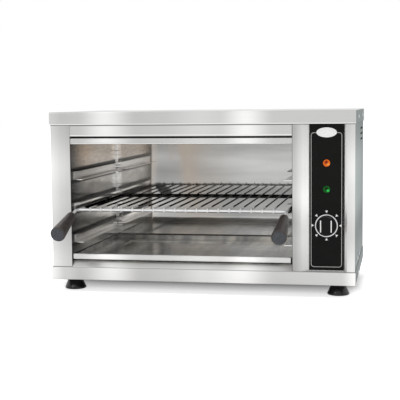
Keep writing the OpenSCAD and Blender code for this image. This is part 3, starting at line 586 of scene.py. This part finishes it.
# %% Finish the chamber's rear wall
rear_metal = 0.85
rear_rough = 0.04
rear_tones = [(0.30, (0.50, 0.495, 0.48)), (0.70, (0.84, 0.84, 0.83))]
rear_tint = (0.74, 0.64, 0.54)
middle_line = 20 * mm
tint_leftwards = [(0.0, 0.0), (0.47, 1.0), (0.64, 1.0), (0.72, 0.3)]  # from there to the left wall
painted_light_end = 60 * mm
painted_light_rightwards = [(0.0, 1.20), (0.16, 1.15), (0.32, 0.70), (0.60, 0.72), (1.0, 0.93)]
darker_upwards = [(0.0, 1.0), (1.0, 0.80)]
upper_start = 60 * mm
upper_full = 160 * mm
dark_reflection_band = [(0.118, 1.0), (0.127, 0.55), (0.190, 0.46), (0.205, 1.0)]  # painted dark reflection behind the grid; metres above the ground, tone
dark_reflection_start = -220 * mm


def mirror_steel():
    """Bright sheet that mirrors what stands before it, clouded by heat, with painted light near its left
    corner and a painted dark reflection in a band behind the grid.
    """
    material = start_finish("rear wall steel", rear_tones[-1][1], rear_rough, metal=rear_metal)
    clouds = stretched_noise(material, stretch=(2.6, 2.6, 20.0), detail=4.0, shift=(3.1, 0, 0))
    tone = ramp(material, clouds, rear_tones)
    leftwards = along_axis(material, "X", middle_line, wall_low.x)
    near_corner = grey_ramp(material, leftwards, tint_leftwards)
    patches = stretched_noise(material, stretch=(16.0, 16.0, 4.0), detail=4.0, shift=(0.4, 0.0, 0.9))
    patches = span(material, patches, low=-1.2, high=2.3)
    amount = arithmetic(material, "MULTIPLY", near_corner, patches, clamp=True)
    tone = blend(material, amount, tone, rear_tint)
    # painted light: brightest near the left corner, dimmer towards the middle
    rightwards = along_axis(material, "X", wall_high.x, painted_light_end)
    tone = multiply(material, tone, grey_ramp(material, rightwards, painted_light_rightwards))
    # darker towards the top
    upwards = along_axis(material, "Z", wall_low.z + upper_start, wall_low.z + upper_full)
    tone = multiply(material, tone, grey_ramp(material, upwards, darker_upwards))
    # a painted dark reflection in a band behind the grid, fading out towards the left
    away = along_axis(material, "X", dark_reflection_start, middle_line)
    dark_reflection = blend(material, away, white, painted_bands(material, "Z", dark_reflection_band))
    paint(material, multiply(material, tone, dark_reflection))
    waves = stretched_noise(material, stretch=(9.0, 9.0, 6.0), detail=1.0)
    emboss(material, waves, strength=0.10, distance=2 * mm)
    return material


rear_steel = mirror_steel()
print("rear wall is ready")

# %% Finish the corner angles and the runners
streak_wide = 34.0  # streaks to the metre, across and along the sheet
streak_long = 3.5
corner_rough = 0.12
corner_tones = [(0.32, (0.42, 0.41, 0.39)), (0.66, (0.95, 0.94, 0.92))]
bead_reflection_stops = [(0.50, 0.0), (0.62, 0.8)]
bead_reflection_tone = (0.16, 0.155, 0.15)
runner_rough = 0.16
runner_metal = 0.80
runner_bright = (1.0, 0.99, 0.97)
runner_dim = 0.7
runner_underside_shade = grey(0.01)
forward = (0, -1, 0)


def drawn_steel(name, tones, along, rough, metal):
    """Plain rolled sheet with long soft streaks one way."""
    material = start_finish(name, tones[-1][1], rough, metal=metal)
    drawn = streaks(material, along, streak_wide, streak_long)
    paint(material, ramp(material, drawn, tones))
    roughen(material, drawn, at_zero=rough + 0.05, at_one=rough - 0.05)
    emboss(material, drawn, strength=0.10, distance=1 * mm)
    return material


def corner_angle():
    """Upright angle with dark beads along it, painted reflections of the grid's wire ends."""
    material = drawn_steel("corner angle steel", corner_tones, "Z", corner_rough, chamber_metal)
    # painted reflections: dark beads up the angle, where the wires' ends would mirror
    reflection_beads = stretched_noise(material, stretch=(20.0, 20.0, 190.0), detail=2.0)
    repaint(material, grey_ramp(material, reflection_beads, bead_reflection_stops), bead_reflection_tone)
    return material


def runner_sheet():
    """Folded runner: bright above, with painted light on its cut front end and painted shade where it
    looks down.
    """
    dim = tuple(runner_dim * tone for tone in runner_bright)
    tones = [(0.32, dim), (0.66, runner_bright)]
    material = drawn_steel("runner steel", tones, "Y", runner_rough, runner_metal)
    # painted shade on faces that look down
    repaint(material, facing(material, down, start=0.15, end=0.75), runner_underside_shade)
    # painted light on the cut front end
    repaint(material, facing(material, forward, start=0.60, end=0.90), runner_bright)
    return material


corner_steel = corner_angle()
runner_steel = runner_sheet()
print("angles and runners are ready")

# %% [markdown]
# ## Tray, ceiling and sill
# The tray and the ceiling have two faces: a narrow lip in front, which is as clean as the casing, and
# the broad sheet behind it, which crumbs, fat and heat have marked. The tray was also scratched by
# each pull, so its marks run both ways; these marks and their bright glints also stand for painted
# reflections of the grid's wires. One ramp a millimetre deep parts the lip from the rest. The sill in
# front of the chamber's floor is clean, and the tray's lip shades its top.

# %% Finish the crumb tray
tray_low, tray_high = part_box("crumb_tray")
lip_inside = 1.6 * mm
lip_behind = 2.6 * mm
marks_across = 22.0  # marks to the metre
tray_marks_along = 3.0
tray_rough = 0.16
tray_metal = 0.62
tray_lip_share = 1.14
tray_marks = [(0.32, (0.34, 0.34, 0.34)), (0.66, (0.68, 0.68, 0.675))]
scratch_and_reflection_tones = [(0.36, (0.62, 0.62, 0.63)), (0.64, (1.30, 1.26, 1.18))]
tray_front_wall_light = (0.95, 0.95, 0.94)
backward = (0, 1, 0)


def behind_lip(material, low):
    """0 on the lip in front of a sheet, and 1 on all that lies behind it."""
    return along_axis(material, "Y", low.y + lip_inside, low.y + lip_behind)


def tray_sheet():
    """Scratched sheet with a clean lip; the scratches and their bright glints also stand for painted
    reflections, and the inside of its front wall has painted light.
    """
    material = start_finish("tray steel", dull_grey, tray_rough, metal=tray_metal)
    marks = streaks(material, "X", marks_across, tray_marks_along)
    # scratches, painted also to stand for reflections of the grid's wires, with bright glints
    scratches_and_reflections = stretched_noise(material, stretch=(44.0, 5.0, 22.0), detail=4.0, shift=(0.3, 0.1, 0.0))
    inside = ramp(material, marks, tray_marks)
    inside = multiply(material, inside, ramp(material, scratches_and_reflections, scratch_and_reflection_tones))
    lip = painted_bands(material, "X", scaled(across_bands, tray_lip_share))
    colour = blend(material, behind_lip(material, tray_low), lip, inside)
    brush(material, colour, "X", tray_rough)
    # painted light on the inside of the front wall, which looks backwards
    repaint(material, facing(material, backward, start=0.6, end=0.9), tray_front_wall_light)
    return material


tray_steel = tray_sheet()
print("tray is", round((tray_high.y - tray_low.y) / mm, 1), "mm deep")

# %% Finish the reflector
reflector_low, reflector_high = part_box("reflector")
scorch_marks_along = 5.0
reflector_rough = 0.25
scorch_tones = [(0.3, (0.22, 0.205, 0.19)), (0.7, (0.46, 0.44, 0.42))]
reflector_edge_highlight = (reflector_low.z + 0.8 * mm, 1.8 * mm, 0.90)


def reflector_sheet():
    """Scorched sheet with a clean lip, and a painted highlight along its lower edge."""
    material = start_finish("reflector steel", grey(0.3), reflector_rough, metal=1.0)
    scorch = streaks(material, "X", marks_across, scorch_marks_along)
    scorched = ramp(material, scorch, scorch_tones)
    # painted highlight along the lip's lower edge
    lip = draw_line(material, painted_bands(material, "X", across_bands), "Z", *reflector_edge_highlight)
    colour = blend(material, behind_lip(material, reflector_low), lip, scorched)
    brush(material, colour, "X", reflector_rough)
    return material


scorched_steel = reflector_sheet()
print("reflector is", round((reflector_high.z - reflector_low.z) / mm, 1), "mm high")

# %% Finish the sill
sill_low, sill_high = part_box("chamber_floor")
sill_rough = 0.28
sill_share = 1.18
sill_shade = [(0.0, 0.66), (1.0, 1.0)]
sill_edge = 1 * mm


def sill_sheet():
    """Clean sheet that the tray's lip shades near its top."""
    material = start_finish("sill steel", dull_grey, sill_rough, metal=1.0)
    bands = painted_bands(material, "X", scaled(across_bands, sill_share))
    drop = along_axis(material, "Z", sill_high.z - sill_edge, sill_low.z + sill_edge)
    brush(material, multiply(material, bands, grey_ramp(material, drop, sill_shade)), "X", sill_rough)
    return material


sill_steel = sill_sheet()
print("sill is", round((sill_high.z - sill_low.z) / mm, 1), "mm high")

# %% Dull what is seen edge-on
chamber_shine = 0.2


def dull_edges(material, tone):
    """Keeps a sheet from going white where it is seen edge-on."""
    tint_edges(material, grey(tone))
    set_gloss(material, chamber_shine)


dull_edges(wall_steel, 0.70)
dull_edges(runner_steel, 0.95)
dull_edges(tray_steel, 0.90)
print("edges are dulled")

# %% [markdown]
# ## Plated wire and small metal
# The grid is bright plated wire. Plating is smooth but never perfect, so a fine noise roughens it
# a little. Its front rod stays bright; behind it the wires are painted dark, as they mirror the dark
# chamber, but for a thin painted highlight along their tops, and where the grid looks down it has
# painted shade. Screws and hangers are duller zinc, the elements have a dark oxidised sheath, and
# the bulb's tube is copper.

# %% Make the small metals
def plain_metal(name, colour, rough, worn=0.15):
    """Metal with a fine uneven polish."""
    material = start_finish(name, colour, rough, metal=1.0)
    grains = specks(material, 600.0, detail=3.0)
    clouds = specks(material, 30.0)
    shade = grey_ramp(material, clouds, [(0.3, 1 - worn), (0.7, 1.0)])
    paint(material, multiply(material, colour, shade))
    roughen(material, grains, at_zero=rough * 0.7, at_one=rough * 1.4)
    emboss(material, grains, strength=0.05, distance=0.1 * mm)
    return material


ring_chrome = plain_metal("ring chrome", grey(0.60), rough=0.18)
zinc = plain_metal("zinc plate", (0.62, 0.63, 0.64), rough=0.34)
dark_sheath = plain_metal("element sheath", (0.16, 0.145, 0.135), rough=0.48, worn=0.4)
brass = plain_metal("terminal brass", (0.70, 0.52, 0.24), rough=0.3)
copper = plain_metal("tube copper", (0.58, 0.30, 0.17), rough=0.35, worn=0.3)
print("small metals are ready")

# %% Plate the grid
grid_low, grid_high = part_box("wire_grid")
rod_behind = 40 * mm  # behind the grid's foremost point; the painted shade on the wires starts here
rod_dark = 56 * mm
highlight_way = (-0.5, 0, 0.85)
wire_shade = grey(0.02)
wire_highlight = (0.86, 0.86, 0.85)
wire_edge_on_shade = grey(0.30)
wire_underside_shade = grey(0.03)
print("grid is", round((grid_high.x - grid_low.x) / mm, 1), "mm wide")


def grid_plating():
    """Bright in front; behind the front rod painted dark but for a painted highlight on the tops of the
    wires, and painted shade wherever it looks down.
    """
    material = plain_metal("grid chrome", grey(0.95), rough=0.12)
    # painted highlight on the tops of the wires, painted shade on the rest behind the rod
    lit_top = facing(material, highlight_way, start=0.86, end=0.97)
    behind_rod = along_axis(material, "Y", grid_low.y + rod_behind, grid_low.y + rod_dark)
    repaint(material, behind_rod, blend(material, lit_top, wire_shade, wire_highlight))
    # painted shade on faces that look down
    repaint(material, facing(material, down, start=0.35, end=0.6), wire_underside_shade)
    metallic = span(material, behind_rod, low=0.25, high=1.0)
    join(material, metallic, principled(material).inputs["Metallic"])
    edge_on = blend(material, lit_top, wire_edge_on_shade, white)
    tint_edges(material, blend(material, behind_rod, white, edge_on))
    return material


grid_chrome = grid_plating()
print("grid is plated")

# %% [markdown]
# ## Plastics, rubber, ceramic and wool
# None of these is a flat colour on the real machine. Moulded plastic has a fine spark-eroded
# grain, rubber is a little chalky, and ceramic is speckled. One helper makes all of them: a grain
# for the bumps, and a slow cloud that lightens and darkens the colour.

# %% Make the plastics and the rubber
smoothest = 0.02


def moulded(name, colour, rough, grain=900.0, bumps=0.15, cloud=0.25, shine=0.5):
    """Moulded material with a fine grain and slow changes of colour."""
    material = start_finish(name, colour, rough)
    grains = specks(material, grain)
    clouds = specks(material, 45.0, detail=3.0, shift=(1.7, 0, 0))
    shade = grey_ramp(material, clouds, [(0.25, 1 - cloud), (0.75, 1.0)])
    paint(material, multiply(material, colour, shade))
    roughen(material, grains, max(rough - 0.08, smoothest), rough + 0.08)
    emboss(material, grains, strength=bumps, distance=0.2 * mm)
    set_gloss(material, shine)
    return material


plate_black = moulded("control plate black", (0.007, 0.007, 0.0065), rough=0.42, grain=1400.0, shine=0.08)
knob_black = moulded("knob black", grey(0.004), rough=0.20, shine=0.12)
foot_rubber = moulded("foot rubber", (0.006, 0.006, 0.007), rough=0.22, grain=700.0, shine=0.55)
black_nylon = moulded("gland nylon", grey(0.02), rough=0.45)
white_plastic = moulded("housing plastic", (0.72, 0.70, 0.64), rough=0.45)
ceramic = moulded("bush ceramic", (0.78, 0.74, 0.66), rough=0.6, bumps=0.3)
wool = moulded("mineral wool", (0.26, 0.23, 0.16), rough=0.95, grain=260.0, bumps=0.9, cloud=0.5)
print_white = moulded("printed white", (0.92, 0.92, 0.90), rough=0.5, bumps=0.05, cloud=0.08)
print_grey = moulded("printed grey", (0.56, 0.56, 0.55), rough=0.5, bumps=0.05, cloud=0.08, shine=0.2)
print("plastics are ready")

# %% Make the grips' bakelite
grip_side = (0.048, 0.040, 0.037)
grip_end = (0.055, 0.060, 0.068)
grip_lean = math.radians(17)
grip_way = (0, -math.cos(grip_lean), -math.sin(grip_lean))
grip_specks = [(0.3, 0.55), (0.7, 1.25)]
grip_rough = 0.42
grip_smoother = 0.06
grip_rougher = 0.08
grip_shine = 0.35


def bakelite():
    """Brown and speckled, with a greyer end."""
    material = start_finish("grip brown", grip_side, grip_rough)
    end_only = facing(material, grip_way, start=0.80, end=0.95)
    colour = blend(material, end_only, grip_side, grip_end)
    pores = streaks(material, "X", across=120.0, along=500.0)
    paint(material, multiply(material, colour, grey_ramp(material, pores, grip_specks)))
    roughen(material, pores, grip_rough - grip_smoother, grip_rough + grip_rougher)
    emboss(material, pores, strength=0.35, distance=0.4 * mm)
    set_gloss(material, grip_shine)
    return material


grip_brown = bakelite()
print("bakelite is ready")

# %% [markdown]
# ## Lamp lenses
# A lens is clear coloured plastic over a white holder. It looks deep in the middle, bright towards
# its rim and brightest low down on one side, where it gathers the light. Transmission with a thin
# body of colour would need many samples, so this is a glossy coloured plastic with a painted dark
# spot, a painted highlight and a little light of its own.

# %% Make the lens plastics
lens_rough = 0.12
lens_glow = 0.2
lens_shine = 0.15
lens_facets = [(0.3, 0.70), (0.7, 1.0)]
dark_place = Vector((-0.05, 0, 0.22))  # from the lens's middle, in radii
dark_reach = 0.80
highlight_place = Vector((0.45, 0, -0.40))
highlight_reach = 0.55
spot_core = 0.35


def vector_step(material, operation, first, second=None):
    """One step of arithmetic on a point of the part."""
    node = add_node(material, "VectorMath")
    node.operation = operation
    join(material, first, node.inputs[0])
    if second is not None:
        node.inputs[1].default_value = second
    return node


def spot(material, middle, reach):
    """1 at a point on the front, fading to 0 at a distance from it."""
    place = add_node(material, "TexCoord")
    offset = vector_step(material, "SUBTRACT", place.outputs["Object"], middle)
    flat = vector_step(material, "MULTIPLY", offset.outputs["Vector"], (1, 0, 1))
    away = vector_step(material, "LENGTH", flat.outputs["Vector"])
    fade = rescale(material, away.outputs["Value"], reach, spot_core * reach)
    fade.node.interpolation_type = "SMOOTHSTEP"
    return fade


def lens_plastic(name, node, rim, core, light):
    """Glossy coloured lens with painted shade where one looks into it and a painted highlight low down.
    """
    low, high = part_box(node)
    radius = (high.x - low.x) / 2
    middle = (low + high) / 2
    material = start_finish(name, rim, lens_rough)
    # painted shade in the middle of the lens, and a painted highlight low down on one side
    dark = spot(material, middle + dark_place * radius, dark_reach * radius)
    bright = spot(material, middle + highlight_place * radius, highlight_reach * radius)
    tone = blend(material, dark, rim, core)
    tone = blend(material, bright, tone, light)
    facets = specks(material, 420.0, detail=1.0)
    colour = multiply(material, tone, grey_ramp(material, facets, lens_facets))
    shader = principled(material)
    paint(material, colour)
    join(material, colour, shader.inputs["Emission Color"])
    shader.inputs["Emission Strength"].default_value = lens_glow
    set_gloss(material, lens_shine)
    emboss(material, facets, strength=0.3, distance=0.3 * mm)
    return material


lens_orange = lens_plastic(
    "lens orange", "orange_lamp_lens",
    rim=(0.86, 0.17, 0.012), core=(0.24, 0.02, 0.003), light=(1.0, 0.34, 0.06),
)
lens_green = lens_plastic(
    "lens green", "green_lamp_lens",
    rim=(0.003, 0.13, 0.012), core=(0.0008, 0.02, 0.002), light=(0.03, 0.62, 0.10),
)
print("lenses are ready")

# %% [markdown]
# ## Dressing the parts
# Every solid part now gets its finish. The list follows the real machine: what is folded from
# which sheet, and which way that sheet was brushed.

# %% Give each part its finish
def dress(material, *names):
    """Puts one material on parts that keep their own shape."""
    for name in names:
        mesh = nodes[name].data
        mesh.materials.clear()
        mesh.materials.append(material)


dress(pan_steel, "base_pan")
dress(cover_steel, "top_cover")
dress(header_steel, "front_header")
dress(plain_steel, "rear_panel")
dress(sill_steel, "chamber_floor")
dress(left_steel, "left_side_panel")
dress(right_steel, "right_side_panel")
dress(trough_steel, "control_panel")
dress(wall_steel, "chamber_left_wall", "chamber_right_wall")
dress(rear_steel, "chamber_rear_wall")
dress(corner_steel, "left_rear_corner", "right_rear_corner")
dress(tray_steel, "crumb_tray")
dress(scorched_steel, "reflector")
dress(runner_steel, *[f"{side}_runner_{level}" for side in ("left", "right") for level in levels])
dress(grid_chrome, "wire_grid", "left_handle_rod", "right_handle_rod")
dress(ring_chrome, "knob_ring")
dress(zinc, "element_hangers", "bulb_clips", "side_bracket", "bracket_screws", "cover_screws")
dress(zinc, "panel_screws", "foot_screws", "foot_nuts", "thermostat_spindle")
dress(dark_sheath, "heating_elements")
dress(brass, "element_terminals")
dress(copper, "thermostat_bulb")
dress(plate_black, "control_plate")
dress(knob_black, "control_knob")
dress(grip_brown, "left_grip", "right_grip")
dress(foot_rubber, "front_left_foot", "front_right_foot", "rear_left_foot", "rear_right_foot")
dress(black_nylon, "cable_gland", "gland_nut")
dress(white_plastic, "thermostat", "terminal_block", "orange_lamp_body", "green_lamp_body")
dress(ceramic, "element_bushes")
dress(wool, "left_insulation", "right_insulation", "rear_insulation", "top_insulation")
dress(lens_orange, "orange_lamp_lens")
dress(lens_green, "green_lamp_lens")
undressed = [name for name, part in nodes.items() if len(part.data.materials) != 1]
print("parts without their own finish:", undressed)

# %% [markdown]
# ## What is printed on the control plate
# The plate carries a thin printed border, a plain oval plate at its top, and a ring of small
# triangles round the knob that stand for the heat settings. Print has almost no thickness, so each
# mark is a thin solid that stands a tenth of a millimetre proud of the plate.

# %% Helpers for thin marks
plate_low, plate_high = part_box("control_plate")
plate_face = plate_low.y
upright = Matrix.Rotation(math.pi / 2, 4, "X")
sunk = 0.02 * mm
print_proud = 0.12 * mm


def raise_marks(bm, proud):
    """Gives flat marks in the plane of the plate their thickness, out of the plate."""
    made = bmesh.ops.extrude_face_region(bm, geom=bm.faces[:])
    moved = [item for item in made["geom"] if isinstance(item, bmesh.types.BMVert)]
    bmesh.ops.translate(bm, verts=moved, vec=(0, -proud, 0))
    bmesh.ops.recalc_face_normals(bm, faces=bm.faces[:])


def round_off(bm, geom, offset, segments, affect):
    """Rounds corners or edges off."""
    bmesh.ops.bevel(bm, geom=geom, offset=offset, offset_type="OFFSET", segments=segments,
                    profile=0.5, affect=affect, material=-1)


def make_object(name, bm, material):
    """Turns a finished bmesh into an object of the scene."""
    mesh = bpy.data.meshes.new(name)
    bm.to_mesh(mesh)
    bm.free()
    mesh.materials.append(material)
    made = bpy.data.objects.new(name, mesh)
    scene.collection.objects.link(made)
    return made


def make_piece(name, bm, material, body):
    """Makes a piece that rides with a body of the machine."""
    piece = make_object(name, bm, material)
    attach(piece, body)
    return piece


print("plate face at y =", round(plate_face, 4))

# %% Print the border line
border_low = Vector((plate_low.x + 3.4 * mm, 0, plate_low.z + 6.5 * mm))
border_high = Vector((plate_high.x - 4.2 * mm, 0, plate_high.z - 16.5 * mm))
border_corner = 6 * mm
border_line = 1.0 * mm


def print_border():
    """A rounded rectangle, drawn as a line."""
    bm = bmesh.new()
    bmesh.ops.create_grid(bm, x_segments=1, y_segments=1, size=0.5, matrix=upright)
    size = border_high - border_low
    bmesh.ops.scale(bm, verts=bm.verts[:], vec=(size.x, 1, size.z))
    middle = (border_low + border_high) / 2
    bmesh.ops.translate(bm, verts=bm.verts[:], vec=(middle.x, plate_face + sunk, middle.z))
    round_off(bm, bm.verts[:], border_corner, 8, "VERTICES")
    inner = bmesh.ops.inset_region(bm, faces=bm.faces[:], thickness=border_line,
                                   use_even_offset=True, use_boundary=True)
    line = set(inner["faces"])
    bmesh.ops.delete(bm, geom=[face for face in bm.faces if face not in line], context="FACES")
    raise_marks(bm, print_proud)
    return make_piece("printed_border", bm, print_grey, "casing")


border = print_border()
print("border line has", len(border.data.polygons), "faces")

# %% Fix the bare oval plate
oval_middle = Vector(((border_low.x + border_high.x) / 2 + 0.3 * mm, plate_face + sunk, border_high.z))
oval_wide = 41 * mm
oval_high = 20 * mm
oval_proud = 0.8 * mm
oval_edge = 0.25 * mm
touching = 0.001 * mm


def fix_oval():
    """A bevelled oval disc that lies on the plate."""
    bm = bmesh.new()
    bmesh.ops.create_circle(bm, cap_ends=True, segments=64, radius=0.5, matrix=upright)
    bmesh.ops.scale(bm, verts=bm.verts[:], vec=(oval_wide, 1, oval_high))
    bmesh.ops.translate(bm, verts=bm.verts[:], vec=oval_middle)
    raise_marks(bm, oval_proud)
    face = min(vert.co.y for vert in bm.verts)
    rim = [edge for edge in bm.edges if all(abs(vert.co.y - face) < touching for vert in edge.verts)]
    round_off(bm, rim, oval_edge, 3, "EDGES")
    return make_piece("oval_plate", bm, print_white, "casing")


oval_plate = fix_oval()
print("oval plate has", len(oval_plate.data.polygons), "faces")

# %% Print the triangles round the knob
knob_low, knob_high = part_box("control_knob")
knob_axis = (knob_low + knob_high) / 2
ring_low, ring_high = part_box("knob_ring")
ring_radius = (ring_high.x - ring_low.x) / 2
mark_count = 8
mark_ring = ring_radius + 5.6 * mm
mark_size = 3.3 * mm


def print_marks():
    """Small triangles that point at the knob."""
    bm = bmesh.new()
    for index in range(mark_count):
        turn = 2 * math.pi * index / mark_count
        made = bmesh.ops.create_circle(bm, cap_ends=True, segments=3, radius=mark_size)
        verts = made["verts"]
        bmesh.ops.rotate(bm, verts=verts, cent=(0, 0, 0), matrix=Matrix.Rotation(math.pi, 3, "Z"))
        bmesh.ops.translate(bm, verts=verts, vec=(0, mark_ring, 0))
        bmesh.ops.rotate(bm, verts=verts, cent=(0, 0, 0), matrix=Matrix.Rotation(turn, 3, "Z"))
    bmesh.ops.transform(bm, verts=bm.verts[:], matrix=upright)
    bmesh.ops.translate(bm, verts=bm.verts[:], vec=(knob_axis.x, plate_face + sunk, knob_axis.z))
    raise_marks(bm, print_proud)
    return make_piece("printed_marks", bm, print_white, "casing")


marks = print_marks()
print("marks:", mark_count, "with", len(marks.data.polygons), "faces")

# %% [markdown]
# ## White inlays on the knob
# Two slim white bars are let into the front of the knob's grip, one along each edge, so that the
# cook sees from afar how the knob stands. They ride on the knob and turn with it.

# %% Lay the inlays into the knob
inlay_long = 24 * mm
inlay_wide = 2.2 * mm
inlay_proud = 0.25 * mm
inlay_off = 10.6 * mm
inlay_edge = 0.15 * mm


def lay_inlays():
    """Two bevelled bars on the front of the knob's grip."""
    bm = bmesh.new()
    for side in (-1, 1):
        made = bmesh.ops.create_cube(bm, size=1)
        bmesh.ops.scale(bm, verts=made["verts"], vec=(inlay_wide, 2 * inlay_proud, inlay_long))
        place = (knob_axis.x + side * inlay_off, knob_low.y, knob_axis.z)
        bmesh.ops.translate(bm, verts=made["verts"], vec=place)
    round_off(bm, bm.edges[:], inlay_edge, 2, "EDGES")
    return make_piece("knob_inlays", bm, print_white, "knob")


inlays = lay_inlays()
print("inlays have", len(inlays.data.polygons), "faces")

# %% [markdown]
# ## Floor, light and background
# The machine stands on a plain white floor in soft light. A light of the floor's own lifts it to a
# clean white for the camera, and the steel mirrors a little of it. That light is shaped by place: it
# is weakest under the machine, which keeps the shadow and paints it darker, and strongest beside
# the machine, which paints the shadow out there. The world is white for the camera and in what the
# steel mirrors, and a little dimmer as light. The big lamp above would show as a spot in the steel,
# so mirrored rays don't see it.

# %% Mix the floor's white
floor_colour = (0.93, 0.93, 0.93, 1)
lift_start = -140 * mm  # beyond the cover's edge; less than 0 is under the machine
lift_end = 60 * mm
lift_stops = [(0.0, 0.17), (0.30, 0.48), (0.50, 0.70), (0.72, 0.56), (1.0, 0.55)]
beside_start = -10 * mm
beside_end = 30 * mm
beside_lift = 0.85
mirrored_lift = 0.24


def beyond(material, axis, low, high):
    """How far a point of the floor lies outside low to high along one axis, in metres."""
    away = distance_along(material, axis, (low + high) / 2)
    return arithmetic(material, "SUBTRACT", away, (high - low) / 2)


def floor_lift(material):
    """The light of the floor's own, shaped by place: weak under the machine, which paints its shadow
    darker, and strong in front of and beside it, which paints the shadow out there.
    """
    before = beyond(material, "Y", cover_low.y, cover_high.y)
    lift = grey_ramp(material, rescale(material, before, lift_start, lift_end), lift_stops)
    # painted light beside the machine, which washes its shadow out there
    beside = beyond(material, "X", cover_low.x, cover_high.x)
    beside = rescale(material, beside, beside_start, beside_end)
    lift = arithmetic(material, "MAXIMUM", lift, arithmetic(material, "MULTIPLY", beside, beside_lift))
    ray = add_node(material, "LightPath")
    seen = arithmetic(material, "MULTIPLY", ray.outputs["Is Camera Ray"], lift)
    mirrored = arithmetic(material, "MULTIPLY", ray.outputs["Is Glossy Ray"], mirrored_lift)
    return arithmetic(material, "ADD", seen, mirrored)


def floor_white():
    """Matt white that takes shadows, with a light of its own."""
    material = bpy.data.materials.new("floor white")
    material.use_nodes = True
    material.node_tree.nodes.clear()
    matt = add_node(material, "BsdfDiffuse")
    matt.inputs["Color"].default_value = floor_colour
    glow = add_node(material, "Emission")
    glow.inputs["Color"].default_value = (*white, 1)
    join(material, floor_lift(material), glow.inputs["Strength"])
    total = add_node(material, "AddShader")
    out = add_node(material, "OutputMaterial")
    join(material, matt.outputs["BSDF"], total.inputs[0])
    join(material, glow.outputs["Emission"], total.inputs[1])
    join(material, total.outputs["Shader"], out.inputs["Surface"])
    return material


floor_paint = floor_white()
print("floor's white is mixed")

# %% Lay the floor
floor_radius = 14.0  # metres, as floor_back is
floor_back = 4.0
floor_gap = 0.2 * mm


def lay_floor():
    """A wide plain disc under the feet."""
    bm = bmesh.new()
    bmesh.ops.create_circle(bm, cap_ends=True, segments=96, radius=floor_radius)
    bmesh.ops.translate(bm, verts=bm.verts[:], vec=(0, floor_back, cad_box[0].z - floor_gap))
    floor = make_object("floor", bm, floor_paint)


lay_floor()
print("floor lies at z =", round(cad_box[0].z, 4))

# %% Light the studio
world_light = 0.85
world_seen = 1.0


def white_world():
    """White for the camera and in mirrors, a little dimmer as light."""
    world = bpy.data.worlds.new("studio")
    world.use_nodes = True
    world.node_tree.nodes.clear()
    ray = add_node(world, "LightPath")
    seen = arithmetic(world, "MAXIMUM", ray.outputs["Is Camera Ray"], ray.outputs["Is Glossy Ray"])
    seen = arithmetic(world, "MAXIMUM", seen, ray.outputs["Is Transmission Ray"])
    background = add_node(world, "Background")
    background.inputs["Color"].default_value = (*white, 1)
    join(world, span(world, seen, world_light, world_seen), background.inputs["Strength"])
    out = add_node(world, "OutputWorld")
    join(world, background.outputs["Background"], out.inputs["Surface"])
    return world


def soft_light(name, place, aim, size, power):
    """A square lamp that looks at a point; its size is in metres and its power in watts."""
    data = bpy.data.lights.new(name, "AREA")
    data.size = size
    data.energy = power
    lamp = bpy.data.objects.new(name, data)
    lamp.location = place
    lamp.rotation_euler = (Vector(aim) - Vector(place)).to_track_quat("-Z", "Y").to_euler()
    scene.collection.objects.link(lamp)
    return lamp


scene.world = white_world()
key = soft_light("key lamp", place=(0.5, 0.1, 2.6), aim=(0, 0, 0.2), size=2.5, power=20)
key.visible_glossy = False
soft_light("glint lamp", place=(-1.2, -2.2, 1.6), aim=(0, 0, 0.1), size=0.5, power=3)
print("lamps are up")
